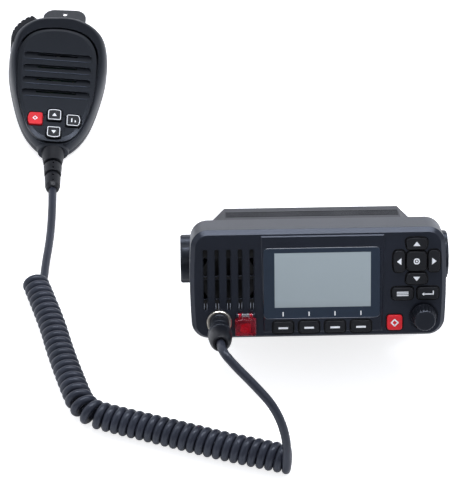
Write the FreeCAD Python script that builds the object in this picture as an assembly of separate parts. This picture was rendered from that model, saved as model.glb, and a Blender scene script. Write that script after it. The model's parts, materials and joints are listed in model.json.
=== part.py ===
import FreeCAD, Part
import math
import os

# VHF marine radio on its U bracket, with a fist microphone on a curly cord.
#
# World frame, millimetres: +X to the radio's right as its user sees it, +Y away from the user, +Z up.
# The origin is the centre of the bracket's screw holes, on the surface that the bracket stands on.
#
# The radio and the microphone are each drawn in a panel frame: X right, Y up the panel, Z out of the
# panel towards the user.  The radio's panel frame starts at the middle of its front face.  The
# microphone's starts at its chin on its back face.  place_radio and place_mic carry them to the world.

Vector = FreeCAD.Vector
Rotation = FreeCAD.Rotation
Placement = FreeCAD.Placement

# ---------------------------------------------------------------- driving dimensions: radio front
SHELL_W = 157.0
SHELL_H = 68.4
SHELL_D = 27.0
SHELL_CORNER = 10.6
SHELL_BOW = 1.6
SHELL_BEVEL = 2.7
SHELL_BEVEL_LOW = 1.6
SHELL_WALL = 2.4
GASKET_LEDGE = 2.0
LEDGE_T = 1.6
PANEL_PROUD = 0.8
PANEL_TAPER = 1.4
PANEL_HALF_H = 30.6

LENS_H = 45.0
LENS_Y = 0.6
LENS_T = 1.8
LENS_SINK = 0.8
LENS_CORNER = 3.0
WINDOW_H = 34.1
WINDOW_Y = 2.6
LCD_H = 37.4

KEY_GAP = 0.3
KEY_PROUD = 1.5
KEY_FLANGE = 0.75
PAD_FLANGE = 0.55
KEY_FLANGE_T = 0.8
KEY_SHAKE = 0.2
KEY_STEM_R = 1.6
KEY_STEM_END = -6.4
MAT_TOP = -7.6
MAT_T = 1.2
BOARD_T = 1.6

SOFT_KEY_H = 7.2
SOFT_KEY_Y = -27.2
SOFT_KEY_COUNT = 4
PAD_Y = 13.4
PAD_SQUARE = 11.5
PAD_STEP_X = 10.4
PAD_STEP_Y = 10.7
PAD_ARM_LONG = 13.4
PAD_ARM_SHORT = 6.4
SMALL_KEY_W = 13.2
SMALL_KEY_H = 7.3
SMALL_KEY_Y = -6.9
RED_KEY_Y = -25.4
RED_KEY_SIZE = 9.4

SLOT_PITCH = 7.09
SLOT_COUNT = 5
SLOT_W = 3.6
SLOT_TOP = 22.8
SLOT_BOTTOM = -16.2
SLOT_SINK = 1.1
GRILLE_W = 2.3
GRILLE_TOP = 17.0
GRILLE_BOTTOM = -9.0
GRILLE_BRIDGE_Y = 4.4
GRILLE_BRIDGE = 2.0
SPEAKER_Y = 3.6
SPEAKER_R = 17.0
SPEAKER_DEPTH = 11.0

DIAL_Y = -21.7
DIAL_DISH_R = 8.85
DIAL_DISH_SINK = 1.2
DIAL_R = 7.7
DIAL_TIP_R = 6.4
DIAL_PROUD = 11.2
DIAL_FLUTES = 20
ENCODER_R = 5.0
ENCODER_SHAFT_R = 3.0
SHAFT_CLEAR = 0.06

SOCKET_Y = -23.3
SOCKET_R = 7.6
SOCKET_BORE_R = 6.1
SOCKET_PROUD = 3.0
SOCKET_DEPTH = 11.4
RING_R = 5.95
RING_END = 17.5
PLUG_R = 7.4
PLUG_END = 31.0
BOOT_END = 45.5
BOOT_TIP_R = 4.3
BOOT_MOUTH_R = 3.4
BOOT_MOUTH_DEPTH = 2.0
CORD_D = 5.4

COVER_W = 12.9
COVER_BOTTOM = -31.5
COVER_TAB_W = 8.5
COVER_PROUD = 4.6
COVER_WALL = 1.1
COVER_GAP = 0.35
HINGE_Y = -18.7
HINGE_Z = 2.2
HINGE_PIN_R = 0.7
HINGE_BARREL_R = 1.35
SPRING_LENGTH = 4.4
EAR_T = 1.1
ALARM_KEY_W = 6.2
ALARM_KEY_H = 5.4
ALARM_KEY_Y = -27.2

# ---------------------------------------------------------------- where the fittings sit across the housing
SHELL_HALF = SHELL_W / 2
PAD_X = SHELL_HALF - 18.5
MENU_KEY_X = PAD_X - 8.5
BACK_KEY_X = PAD_X + 7.0
DIAL_X = PAD_X + 4.5
RED_KEY_X = DIAL_X - 17.8
SOCKET_X = 17.6 - SHELL_HALF
COVER_X = SOCKET_X + 16.1
SLOT_X0 = 9.5 - SHELL_HALF
SPEAKER_X = SLOT_X0 + 14.2
PANEL_LEFT = COVER_X + 9.7
PANEL_RIGHT = PAD_X - 19.5
PANEL_W = PANEL_RIGHT - PANEL_LEFT
LENS_W = PANEL_W - 4.0
LENS_X = (PANEL_LEFT + PANEL_RIGHT) / 2 - 0.6
WINDOW_W = LENS_W - 13.2
WINDOW_X = LENS_X + 0.5
LCD_W = WINDOW_W + 3.0
SOFT_KEY_W = PANEL_W / 4 - 6.7
SOFT_KEY_PITCH = SOFT_KEY_W + 3.7
SOFT_KEY_X0 = PANEL_LEFT + 13.4
BOARD_LEFT = PANEL_LEFT - 0.9
BOARD_RIGHT = SHELL_HALF - 4.9
BOARD_H = SHELL_H - 6.8
BOARD_CORNER = 9.0
TONGUE_W = 16.0
TONGUE_H = 9.0
PAD_SHEET = (26.6, 32.6)
PAD_SHEET_DROP = 2.2
SMALL_SHEET = (26.0, 8.0)
MAT_LINK = (4.0, 14.0)
MAT_LINK_RIGHT = 1.5

# ---------------------------------------------------------------- driving dimensions: chassis and bracket
CHASSIS_W = SHELL_W - 26.2
FLANGE_SCREW_X = CHASSIS_W / 2 + 3.8
FIELD_W = CHASSIS_W - 21.3
AERIAL_X = 27.4 - CHASSIS_W / 2
GLAND_X = (8.0, CHASSIS_W / 2 - 33.4)
BOSS_R = 7.0
BOSS_REACH = 6.0
POST_R = 3.0
POST_H = 8.0
POST_Z = (-36.0, -78.0)
CIRCUIT_HALF = CHASSIS_W / 2 - 9.4
CIRCUIT_DEPTH = 54.0
CIRCUIT_BACK = 84.0
POST_X = CIRCUIT_HALF - 6.0
CAN_W = 52.0
CAN_H = 9.0
CAN_DEPTH = 34.0
CAN_BACK = 80.0
CAN_X = 10.0 - CIRCUIT_HALF
CAN_CORNER = 1.5
FIN_END = 3.0
FIN_TAPER = (5.0, 4.0)
CHASSIS_TOP = 25.5
CHASSIS_BOTTOM = -27.5
CHASSIS_CHAMFER = 10.0
CHASSIS_FOOT = 4.0
CHASSIS_BACK = 89.0
CHASSIS_WALL = 3.0
FLANGE_T = 3.0
FLANGE_CLEAR = 0.2
FLANGE_SCREW_Y = 26.4
SCREW_R = 1.5
SCREW_HEAD_R = 2.6
GASKET_T = 1.0
FIN_H = 6.0
FIN_T = 1.8
FIN_PITCH = 7.0
FIELD_SINK = 1.4
FIELD_Z0 = 66.5
FIELD_Z1 = 79.0
FIELD2_Z0 = 34.0
FIELD2_Z1 = 59.0
RIB_T = 1.0
RIB_PITCH = 2.5
AERIAL_Y = 2.0
AERIAL_R = 7.9
AERIAL_PAD_R = 11.0
AERIAL_LENGTH = 11.0
AERIAL_PLATE = 19.0
AERIAL_PLATE_T = 2.0
AERIAL_BORE_R = 2.0
GLAND_Y = -8.0
GLAND_R = 5.0
GLAND_BORE_R = 2.6
GLAND_OUT = 8.0

TILT_BACK = 26.5
PIVOT_BACK = 52.0
PIVOT_UP = 3.0
PIVOT_HEIGHT = 55.0
PIVOT_FORWARD = 12.0

WASHER_T = 1.2
WASHER_R = 11.0
WASHER_GAP = 0.2
ARM_T = 2.5
ARM_HEAD_R = 14.0
BASE_DEPTH = 46.0
BASE_T = 2.5
BEND_R = 4.0
BASE_HOLE_R = 2.4
BASE_HOLE_DX = 100.0
BASE_HOLE_DY = 28.0
KNOB_SCREW_R = 3.0
KNOB_HUB_R = 10.0
KNOB_HUB_T = 2.0
KNOB_R = 15.2
KNOB_T = 12.4
KNOB_LOBES = 6
KNOB_SCOOP_R = 9.0
KNOB_SCOOP_BITE = 1.9
KNOB_GAP = 0.2

# ---------------------------------------------------------------- driving dimensions: microphone
MIC_L = 118.6
MIC_W = 68.6
MIC_FACE_CHIN = 14.5
MIC_FACE_TOP = 31.0
MIC_SPLIT_CHIN = 6.5
MIC_SPLIT_TOP = 13.5
MIC_WALL = 2.2
MIC_RIM = 5.2
MIC_FACE_X = -0.8
MIC_PANEL_GAP = 1.3
MIC_PANEL_T = 2.2
MIC_LEDGE = 1.0
MIC_PANEL_PROUD = 0.6
MIC_PANEL_BEVEL = 2.6
LOUVRE_W = 47.0
LOUVRE_H = 6.4
LOUVRE_PITCH = 10.5
LOUVRE_TOP_Y = 79.6
LOUVRE_COUNT = 4
LOUVRE_SINK = 1.5
LOUVRE_SLOT_W = 28.0
LOUVRE_SLOT_H = 1.6
MIC_KEY_W = 9.9
MIC_KEY_H = 8.6
MIC_SIDE_KEY_W = 8.6
MIC_SIDE_KEY_H = 10.0
MIC_KEY_X = 12.4
MIC_KEY_SIDE_Y = 26.4
MIC_KEY_UP_Y = 29.7
MIC_KEY_DOWN_Y = 16.3
MIC_KEY_PROUD = 0.9
MIC_KEY_TRAVEL = 0.8
MIC_POCKET_SINK = 0.9
MIC_POCKET_REACH = 0.9
MIC_POCKET_BRIDGE_W = 14.8
MIC_POCKET_BRIDGE_H = 16.0
MIC_POCKET_Y = 23.0
MIC_BOARD_H = 56.0
MIC_BOARD_Y = 52.0
MIC_BOARD_CLEAR = 0.5
TALK_OUTER = [(-34.3, 97.0), (-30.6, 112.6), (-20.5, 122.8)]
TALK_SINK = 11.0
TALK_LOW = 10.5
TALK_HIGH = 22.5
TALK_GAP = 0.4
TALK_TEETH = 7
TALK_TRAVEL = 1.4
TALK_TRAVEL_ANGLE = -41.0
MIC_POST_X0 = 18.6
MIC_POST_Y0 = 38.0
MIC_POST_X1 = 22.0
MIC_POST_Y1 = 82.0
MIC_POST_R = 2.4
MIC_POST_JOINT = 7.0
MIC_SCREW_R = 1.25
MIC_SCREW_HEAD_R = 2.3
STUD_Y = 100.0
STUD_NECK_R = 3.0
STUD_NECK = 6.0
STUD_HEAD_R = 6.5
STUD_HEAD_T = 2.4
STUD_SCREW_R = 1.6
RELIEF_LENGTH = 35.3
RELIEF_RINGS = [(0.0, 10.8, 8.0, 6.4), (13.0, 21.4, 6.2, 5.8), (23.6, 32.6, 5.4, 5.1)]
RELIEF_CORE = 4.2
RELIEF_EDGE = 0.4
RELIEF_MOUTH_R = 3.4
RELIEF_DIMPLE_R = 0.7
RELIEF_DIMPLE_SINK = 1.2
RELIEF_DIMPLE_PITCH = 4.4
RELIEF_ROOT = 5.0
RELIEF_Z = 7.9
RELIEF_X = -0.3
RELIEF_LIFT = 3.0
RELIEF_SWING = 1.7
RELIEF_NECK = 5.0
RELIEF_NECK_R = 4.4
SKIRT_IN = 9.0
SKIRT_ROOT = (12.6, 7.2)
SKIRT_END = (10.4, 7.5)
SKIRT_GAP = 0.05
MIC_X = -171.15
MIC_Y = 146.5
MIC_YAW = -1.3
MIC_TILT = 7.8
MIC_ROLL = 6.0
MIC_REST = 0.2
SURFACE_GAP = 0.2

HANGER_W = 31.0
HANGER_T = 1.5
HANGER_KEEPER_T = 1.5
HANGER_TOP = 162.7
HANGER_TURN = -3.0
HANGER_CORNER = 8.0
HANGER_HOLE_R = 1.7
HANGER_HOLE_IN = 4.3
HANGER_PLAY = 0.9

# ---------------------------------------------------------------- cord route on the supporting surface
COIL_D = 17.0
COIL_LIFT = 0.2
COIL_POINTS = [(-20.5, -144.3), (-56.6, -133.4), (-93.0, -119.5), (-124.2, -108.2), (-144.9, -99.8),
               (-152.7, -74.8), (-161.0, -44.9), (-167.0, -17.5), (-178.3, 18.8)]
LEAD_START = 11.5
PLUG_LEAD_POINTS = [(-53.6, -129.0, 75.0), (-41.1, -135.4, 63.5), (-29.0, -142.8, 51.5), (-22.2, -148.7, 32.0),
                    (-23.5, -148.3, 12.0)]
MIC_LEAD_POINTS = [(-172.6, 42.0, 5.5), (-170.1, 68.0, 3.1)]
MIC_LEAD_STRAIGHT = 20.0
MIC_LEAD_OVERLAP = 6.0

SLIVER = 0.01


# ---------------------------------------------------------------- shape helpers
def side_arc(start, end, outward, rise):
    """A straight side, or an arc through a point raised outward from its middle."""
    if abs(rise) < SLIVER:
        return Part.LineSegment(start, end).toShape()
    middle = (start + end) * 0.5 + outward * rise
    return Part.Arc(start, middle, end).toShape()


def quad_wire(width, height, x, y, z, rise=(0, 0, 0, 0), taper=0.0):
    """Four sides about (x, y) at height z; rise bows top, bottom, left and right outwards.

    taper narrows the lower side at each end."""
    top, bottom = y + height / 2, y - height / 2
    left, right = x - width / 2, x + width / 2
    a, b = Vector(left, top, z), Vector(right, top, z)
    c, d = Vector(right - taper, bottom, z), Vector(left + taper, bottom, z)
    return Part.Wire([
        side_arc(a, b, Vector(0, 1, 0), rise[0]),
        side_arc(b, c, Vector(1, 0, 0), rise[3]),
        side_arc(c, d, Vector(0, -1, 0), rise[1]),
        side_arc(d, a, Vector(-1, 0, 0), rise[2])])


def edges_along_z(solid):
    """The straight edges that run parallel to Z."""
    found = []
    for edge in solid.Edges:
        start, end = edge.Vertexes[0].Point, edge.Vertexes[-1].Point
        flat = math.hypot(end.x - start.x, end.y - start.y)
        if flat < SLIVER and abs(end.z - start.z) > SLIVER and isinstance(edge.Curve, Part.Line):
            found.append(edge)
    return found


def edges_at_z(solid, z):
    """The edges that lie wholly at height z."""
    return [edge for edge in solid.Edges
            if abs(edge.BoundBox.ZMin - z) < SLIVER and abs(edge.BoundBox.ZMax - z) < SLIVER]


def pad(width, height, corner, z0, z1, x=0.0, y=0.0, rise=(0, 0, 0, 0), taper=0.0, soften=0.0):
    """A rounded four-sided block from z0 to z1, its upper rim softened by a small round."""
    block = Part.Face(quad_wire(width, height, x, y, z0, rise, taper)).extrude(Vector(0, 0, z1 - z0))
    if corner > 0:
        block = block.makeFillet(corner, edges_along_z(block))
    if soften > 0:
        block = block.makeFillet(soften, edges_at_z(block, z1))
    return block


def cylinder(radius, z0, z1, x=0.0, y=0.0):
    return Part.makeCylinder(radius, z1 - z0, Vector(x, y, z0))


def turned(profile, x=0.0, y=0.0):
    """A solid of revolution about the Z line through (x, y) from (radius, z) pairs."""
    points = [Vector(x + radius, y, z) for radius, z in profile]
    wire = Part.makePolygon(points + [points[0]])
    return Part.Face(wire).revolve(Vector(x, y, 0), Vector(0, 0, 1), 360)


def turned_curve(curve, back, x=0.0, y=0.0):
    """A solid of revolution whose outside is one smooth curve through (radius, z) pairs; back closes it."""
    outside = Part.BSplineCurve()
    outside.interpolate([Vector(x + radius, y, z) for radius, z in curve])
    straight = [Vector(x + radius, y, z) for radius, z in [curve[-1]] + back + [curve[0]]]
    section = Part.Wire([outside.toShape()] + Part.makePolygon(straight).Edges)
    return Part.Face(section).revolve(Vector(x, y, 0), Vector(0, 0, 1), 360)


def joined(pieces):
    """The union of touching pieces as one clean solid."""
    return pieces[0].multiFuse(pieces[1:]).removeSplitter()


def smooth_loop(points):
    """A closed smooth curve through the points."""
    curve = Part.BSplineCurve()
    curve.interpolate(Points=points, PeriodicFlag=True)
    return Part.Wire([curve.toShape()])


def moved(shape, placement):
    """A copy of the shape carried by a placement on top of the one it already has."""
    result = shape.copy()
    result.Placement = placement.multiply(shape.Placement)
    return result


def radio_placement():
    """Panel frame to world: stand the panel up, lean it back about the pivot, lift it to the bracket."""
    lean = Placement(Vector(0, -PIVOT_FORWARD, PIVOT_HEIGHT), Rotation(Vector(1, 0, 0), 90 - TILT_BACK))
    return lean.multiply(Placement(Vector(0, -PIVOT_UP, PIVOT_BACK), Rotation()))


def mic_lean():
    """Microphone frame to world without its roll: where its hanger lies."""
    turn = Rotation(Vector(0, 0, 1), MIC_YAW).multiply(Rotation(Vector(1, 0, 0), MIC_TILT))
    return Placement(Vector(MIC_X, MIC_Y, MIC_REST), turn)


def mic_placement():
    """Microphone frame to world: chin and hanger edge down, rolled a little on the stud."""
    roll = Placement(Vector(0, 0, -STUD_NECK), Rotation(Vector(0, 1, 0), MIC_ROLL))
    return mic_lean().multiply(roll).multiply(Placement(Vector(0, 0, STUD_NECK), Rotation()))


def hanger_placement():
    """The hanger lies flat under the stud, turned a little about it."""
    turn = Placement(Vector(0, STUD_Y, 0), Rotation(Vector(0, 0, 1), HANGER_TURN))
    return mic_lean().multiply(turn).multiply(Placement(Vector(0, -STUD_Y, 0), Rotation()))


def place_radio(shape):
    return moved(shape, radio_placement())


def place_mic(shape):
    return moved(shape, mic_placement())


def hanger_back():
    """Distance from the microphone's back to the far face of the hanger plate."""
    return STUD_NECK + STUD_HEAD_T + HANGER_PLAY + HANGER_T


def hanger_bottom():
    """Where along the microphone the hanger's lower edge just meets the surface."""
    lean = math.radians(MIC_TILT)
    drop = hanger_back() * math.cos(lean) - MIC_REST + SURFACE_GAP
    skew = HANGER_W / 2 * math.sin(math.radians(abs(HANGER_TURN)))
    return drop / math.sin(lean) + skew


PARTS = {}


# ---------------------------------------------------------------- radio: front shell
def shell_block(inset, z0, z1):
    """The front's outline, moved inwards by inset: straight top and bottom, gently bowed sides."""
    width = SHELL_W - 2 * SHELL_BOW - 2 * inset
    return pad(width, SHELL_H - 2 * inset, SHELL_CORNER - inset, z0, z1,
               rise=(0, 0, SHELL_BOW, SHELL_BOW))


def key_table():
    """Every key on the front: name, x, y, width, height, corner, bow of each side, lower taper."""
    keys = []
    flat = (0, 0, 0, 0)
    for index in range(SOFT_KEY_COUNT):
        x = SOFT_KEY_X0 + index * SOFT_KEY_PITCH
        keys.append(("key_soft_%d" % (index + 1), x, SOFT_KEY_Y, SOFT_KEY_W, SOFT_KEY_H, 1.6, flat, 0))
    arm = (PAD_ARM_LONG, PAD_ARM_SHORT)
    keys.append(("key_ok", PAD_X, PAD_Y, PAD_SQUARE, PAD_SQUARE, 2.4, (0.4, 0.4, 0.4, 0.4), 0))
    keys.append(("key_up", PAD_X, PAD_Y + PAD_STEP_Y, arm[0], arm[1], 2.0, (0.8, 0, 0.2, 0.2), 1.1))
    keys.append(("key_down", PAD_X, PAD_Y - PAD_STEP_Y, arm[0] - 2.2, arm[1], 2.0, (0, 0.8, 0.2, 0.2), -1.1))
    keys.append(("key_left", PAD_X - PAD_STEP_X, PAD_Y, arm[1], arm[0], 2.2, (0, 0, 0.7, 0), 0))
    keys.append(("key_right", PAD_X + PAD_STEP_X, PAD_Y, arm[1], arm[0], 2.2, (0, 0, 0, 0.7), 0))
    keys.append(("key_menu", MENU_KEY_X, SMALL_KEY_Y, SMALL_KEY_W, SMALL_KEY_H, 1.8, (0, 0.3, 0, 0), 0.3))
    keys.append(("key_back", BACK_KEY_X, SMALL_KEY_Y, SMALL_KEY_W, SMALL_KEY_H, 1.8, (0, 0.3, 0, 0), 0.3))
    keys.append(("key_sixteen", RED_KEY_X, RED_KEY_Y, RED_KEY_SIZE, RED_KEY_SIZE, 1.9, flat, 0))
    return keys


def key_flange(name):
    """How far a key's flange reaches past its cap, sideways and up: less where the neighbours are close."""
    if name.startswith("key_soft"):
        return KEY_FLANGE, 0.0
    if name in ("key_ok", "key_up", "key_down", "key_left", "key_right"):
        return PAD_FLANGE, PAD_FLANGE
    return KEY_FLANGE, KEY_FLANGE


def key_solid(name, x, y, width, height, corner, rise, taper):
    """A key cap that shows, the wider flange behind the wall that keeps it in, and its plunger."""
    flange_top = -SHELL_WALL - KEY_SHAKE
    cap = pad(width, height, corner, flange_top, KEY_PROUD, x, y, rise, taper, soften=0.5)
    side, end = key_flange(name)
    flange = pad(width + 2 * side, height + 2 * end, corner, flange_top - KEY_FLANGE_T, flange_top, x, y)
    stem = cylinder(KEY_STEM_R, KEY_STEM_END, flange_top - KEY_FLANGE_T, x, y)
    return joined([cap, flange, stem])


def key_opening(x, y, width, height, corner, rise, taper):
    return pad(width + 2 * KEY_GAP, height + 2 * KEY_GAP, corner + KEY_GAP, -SHELL_WALL - 1, PANEL_PROUD + 1,
               x, y, rise, taper)


def grille_cuts():
    """Five shallow slots down the speaker side, each with two openings and a bridge between them."""
    cuts = []
    for index in range(SLOT_COUNT):
        x = SLOT_X0 + index * SLOT_PITCH
        height = SLOT_TOP - SLOT_BOTTOM
        middle = (SLOT_TOP + SLOT_BOTTOM) / 2
        cuts.append(pad(SLOT_W, height, SLOT_W / 2 - 0.1, -SLOT_SINK, 1, x, middle))
        spans = [(GRILLE_TOP, GRILLE_BRIDGE_Y + GRILLE_BRIDGE / 2),
                 (GRILLE_BRIDGE_Y - GRILLE_BRIDGE / 2, GRILLE_BOTTOM)]
        for top, bottom in spans:
            cuts.append(pad(GRILLE_W, top - bottom, 0.6, -SHELL_WALL - 1, 1, x, (top + bottom) / 2))
    return cuts


def cover_outline(inset, z0, z1):
    """The flip cover's shape: a body with a narrower hinge tab on its upper edge."""
    shoulder = HINGE_Y - 2.2
    body_h = shoulder - COVER_BOTTOM
    return pad(COVER_W - 2 * inset, body_h - 2 * inset, 1.2, z0, z1, COVER_X, (shoulder + COVER_BOTTOM) / 2)


def board_posts():
    return [(-31.2, 26.6), (-31.2, -21.0), (43.6, 27.2), (43.6, -16.6)]


def front_shell():
    """Moulded front: bevelled rim, raised centre panel, pockets, keys' openings and inner bosses."""
    outer = shell_block(0, -SHELL_D, -SHELL_BEVEL)
    rim = shell_block(0, -SHELL_BEVEL - 1, -SHELL_BEVEL)
    flat_w = SHELL_W - 2 * SHELL_BOW - 2 * SHELL_BEVEL
    flat_h = SHELL_H - SHELL_BEVEL - SHELL_BEVEL_LOW
    flat = pad(flat_w, flat_h, SHELL_CORNER - SHELL_BEVEL, -1, 0, 0, (SHELL_BEVEL_LOW - SHELL_BEVEL) / 2,
               rise=(0, 0, SHELL_BOW, SHELL_BOW))
    cap = Part.makeLoft([Part.Wire(Part.__sortEdges__(edges_at_z(rim, -SHELL_BEVEL))),
                         Part.Wire(Part.__sortEdges__(edges_at_z(flat, 0)))], True, True)
    raised = pad(PANEL_RIGHT - PANEL_LEFT, 2 * PANEL_HALF_H, 0, -1, PANEL_PROUD,
                 (PANEL_RIGHT + PANEL_LEFT) / 2, 0, taper=PANEL_TAPER)
    raised = raised.makeChamfer(PANEL_PROUD * 0.9, edges_at_z(raised, PANEL_PROUD))
    body = joined([outer, cap, raised])
    ledge_z = -SHELL_D + FLANGE_T + GASKET_T + 1.0
    cuts = [shell_block(SHELL_WALL, ledge_z + LEDGE_T, -SHELL_WALL), shell_block(SHELL_WALL, -SHELL_D - 1, ledge_z),
            shell_block(SHELL_WALL + GASKET_LEDGE, ledge_z - 1, ledge_z + LEDGE_T + 1)]
    cuts.append(pad(LENS_W + 0.2, LENS_H + 0.2, LENS_CORNER, -LENS_SINK, PANEL_PROUD + 1, LENS_X, LENS_Y))
    cuts.append(pad(WINDOW_W, WINDOW_H, 1.0, -SHELL_WALL - 1, 1, WINDOW_X, WINDOW_Y))
    for key in key_table():
        cuts.append(key_opening(*key[1:]))
    cuts += grille_cuts()
    cuts.append(cylinder(DIAL_DISH_R, -DIAL_DISH_SINK, 2, DIAL_X, DIAL_Y))
    cuts.append(cylinder(ENCODER_R + 0.1, -SHELL_WALL - 1, 2, DIAL_X, DIAL_Y))
    cuts.append(cylinder(SOCKET_R, -SHELL_WALL - 1, 2, SOCKET_X, SOCKET_Y))
    cuts.append(pad(ALARM_KEY_W + 2 * KEY_GAP, ALARM_KEY_H + 2 * KEY_GAP, 1.0, -SHELL_WALL - 1, 1,
                    COVER_X, ALARM_KEY_Y))
    body = body.cut(cuts)
    additions = []
    for x, y in board_posts():
        additions.append(cylinder(1.9, MAT_TOP - MAT_T, -SHELL_WALL + 0.5, x, y))
    for side_x in (-1, 1):
        for side_y in (-1, 1):
            x, y = side_x * FLANGE_SCREW_X, side_y * FLANGE_SCREW_Y
            boss = cylinder(SCREW_R + 2.0, ledge_z, -12.0, x, y)
            additions.append(boss.common(shell_block(1.0, -SHELL_D, 0)))
    for side in (-1, 1):
        x = COVER_X + side * (COVER_TAB_W / 2 + COVER_GAP + EAR_T / 2)
        ear = Part.makeBox(EAR_T, 2 * HINGE_BARREL_R, HINGE_Z + 1.0,
                           Vector(x - EAR_T / 2, HINGE_Y - HINGE_BARREL_R, -1.0))
        tip = Part.makeCylinder(HINGE_BARREL_R, EAR_T, Vector(x - EAR_T / 2, HINGE_Y, HINGE_Z), Vector(1, 0, 0))
        additions.append(ear.fuse(tip))
    body = joined([body] + additions)
    holes = []
    for side_x in (-1, 1):
        for side_y in (-1, 1):
            x, y = side_x * FLANGE_SCREW_X, side_y * FLANGE_SCREW_Y
            holes.append(cylinder(SCREW_R, ledge_z - GASKET_T - 1, -14.0, x, y))
    pin_length = COVER_TAB_W + 2 * COVER_GAP + 2 * EAR_T
    holes.append(Part.makeCylinder(HINGE_PIN_R, pin_length + 2,
                                   Vector(COVER_X - pin_length / 2 - 1, HINGE_Y, HINGE_Z), Vector(1, 0, 0)))
    return body.cut(holes)


def build_front():
    PARTS["front_shell"] = place_radio(front_shell())
    lens = pad(LENS_W, LENS_H, LENS_CORNER, -LENS_SINK, LENS_T - LENS_SINK, LENS_X, LENS_Y)
    PARTS["screen_lens"] = place_radio(lens.makeChamfer(0.35, edges_at_z(lens, LENS_T - LENS_SINK)))
    board_top = MAT_TOP - MAT_T
    lcd = pad(LCD_W, LCD_H, 0.8, board_top, -SHELL_WALL, WINDOW_X, WINDOW_Y)
    PARTS["lcd_panel"] = place_radio(lcd)
    for key in key_table():
        PARTS[key[0]] = place_radio(key_solid(*key))
    soft_span = SOFT_KEY_PITCH * (SOFT_KEY_COUNT - 1)
    strip = pad(soft_span + SOFT_KEY_W + 1.2, SOFT_KEY_H - 0.6, 1.0, board_top, MAT_TOP,
                SOFT_KEY_X0 + soft_span / 2, SOFT_KEY_Y)
    sheet = pad(*PAD_SHEET, 2.0, board_top, MAT_TOP, PAD_X, PAD_Y - PAD_SHEET_DROP)
    small = pad(*SMALL_SHEET, 1.0, board_top, MAT_TOP, (MENU_KEY_X + BACK_KEY_X) / 2, SMALL_KEY_Y)
    red = pad(RED_KEY_SIZE, RED_KEY_SIZE - 0.4, 1.0, board_top, MAT_TOP, RED_KEY_X, RED_KEY_Y)
    link = pad(*MAT_LINK, 0.5, board_top, MAT_TOP, RED_KEY_X + MAT_LINK_RIGHT, (RED_KEY_Y + SMALL_KEY_Y) / 2)
    guarded = pad(ALARM_KEY_W, ALARM_KEY_H, 1.0, board_top, MAT_TOP, COVER_X, ALARM_KEY_Y)
    PARTS["keypad_mat"] = place_radio(Part.makeCompound([strip, joined([sheet, small, link, red]), guarded]))
    board = pad(BOARD_RIGHT - BOARD_LEFT, BOARD_H, BOARD_CORNER, board_top - BOARD_T, board_top,
                (BOARD_LEFT + BOARD_RIGHT) / 2, 0)
    tongue = pad(TONGUE_W, TONGUE_H, 1.5, board_top - BOARD_T, board_top, BOARD_LEFT - TONGUE_W / 4,
                 ALARM_KEY_Y + 2.0)
    PARTS["front_board"] = place_radio(joined([board, tongue]))


def build_speaker():
    """Round loudspeaker behind the grille: flanged frame with a magnet, and a paper cone."""
    face = -SHELL_WALL
    frame = turned([(SPEAKER_R, face), (SPEAKER_R, face - 1.6), (SPEAKER_R - 2.4, face - 1.6), (10.5, face - 7.0),
                    (10.5, face - SPEAKER_DEPTH), (0, face - SPEAKER_DEPTH), (0, face - 6.0), (9.0, face - 6.0),
                    (SPEAKER_R - 3.6, face - 1.0), (SPEAKER_R - 3.6, face)], SPEAKER_X, SPEAKER_Y)
    PARTS["speaker_frame"] = place_radio(frame)
    cone = turned([(0, face - 5.0), (3.0, face - 4.0), (SPEAKER_R - 5.0, face - 0.8), (SPEAKER_R - 3.7, face - 0.3),
                   (SPEAKER_R - 3.7, face - 0.8), (8.6, face - 5.9), (0, face - 5.9)], SPEAKER_X, SPEAKER_Y)
    PARTS["speaker_cone"] = place_radio(cone)


def build_dial():
    """Volume knob: tapered, fluted, bored for the encoder's shaft."""
    board_top = MAT_TOP - MAT_T
    bush = [(ENCODER_R, 0.2), (ENCODER_R, board_top), (0, board_top), (0, DIAL_PROUD - 2.2),
            (ENCODER_SHAFT_R, DIAL_PROUD - 2.2), (ENCODER_SHAFT_R, 0.2)]
    PARTS["encoder"] = place_radio(turned(bush, DIAL_X, DIAL_Y))
    foot = 0.5
    bore = ENCODER_SHAFT_R + SHAFT_CLEAR
    profile = [(bore, foot), (DIAL_R, foot), (DIAL_R, foot + 1.2), (DIAL_TIP_R + 0.3, DIAL_PROUD - 1.0),
               (DIAL_TIP_R - 0.6, DIAL_PROUD), (0, DIAL_PROUD), (0, DIAL_PROUD - 2.0), (bore, DIAL_PROUD - 2.0)]
    knob = turned(profile, DIAL_X, DIAL_Y)
    flutes = []
    for index in range(DIAL_FLUTES):
        angle = 2 * math.pi * index / DIAL_FLUTES
        reach = DIAL_R + 0.1
        low = Vector(DIAL_X + reach * math.cos(angle), DIAL_Y + reach * math.sin(angle), foot + 1.4)
        lean = Vector(-math.cos(angle) * 0.13, -math.sin(angle) * 0.13, 1)
        flutes.append(Part.makeCylinder(0.55, DIAL_PROUD, low, lean))
    PARTS["volume_knob"] = place_radio(knob.cut(flutes))


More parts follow.
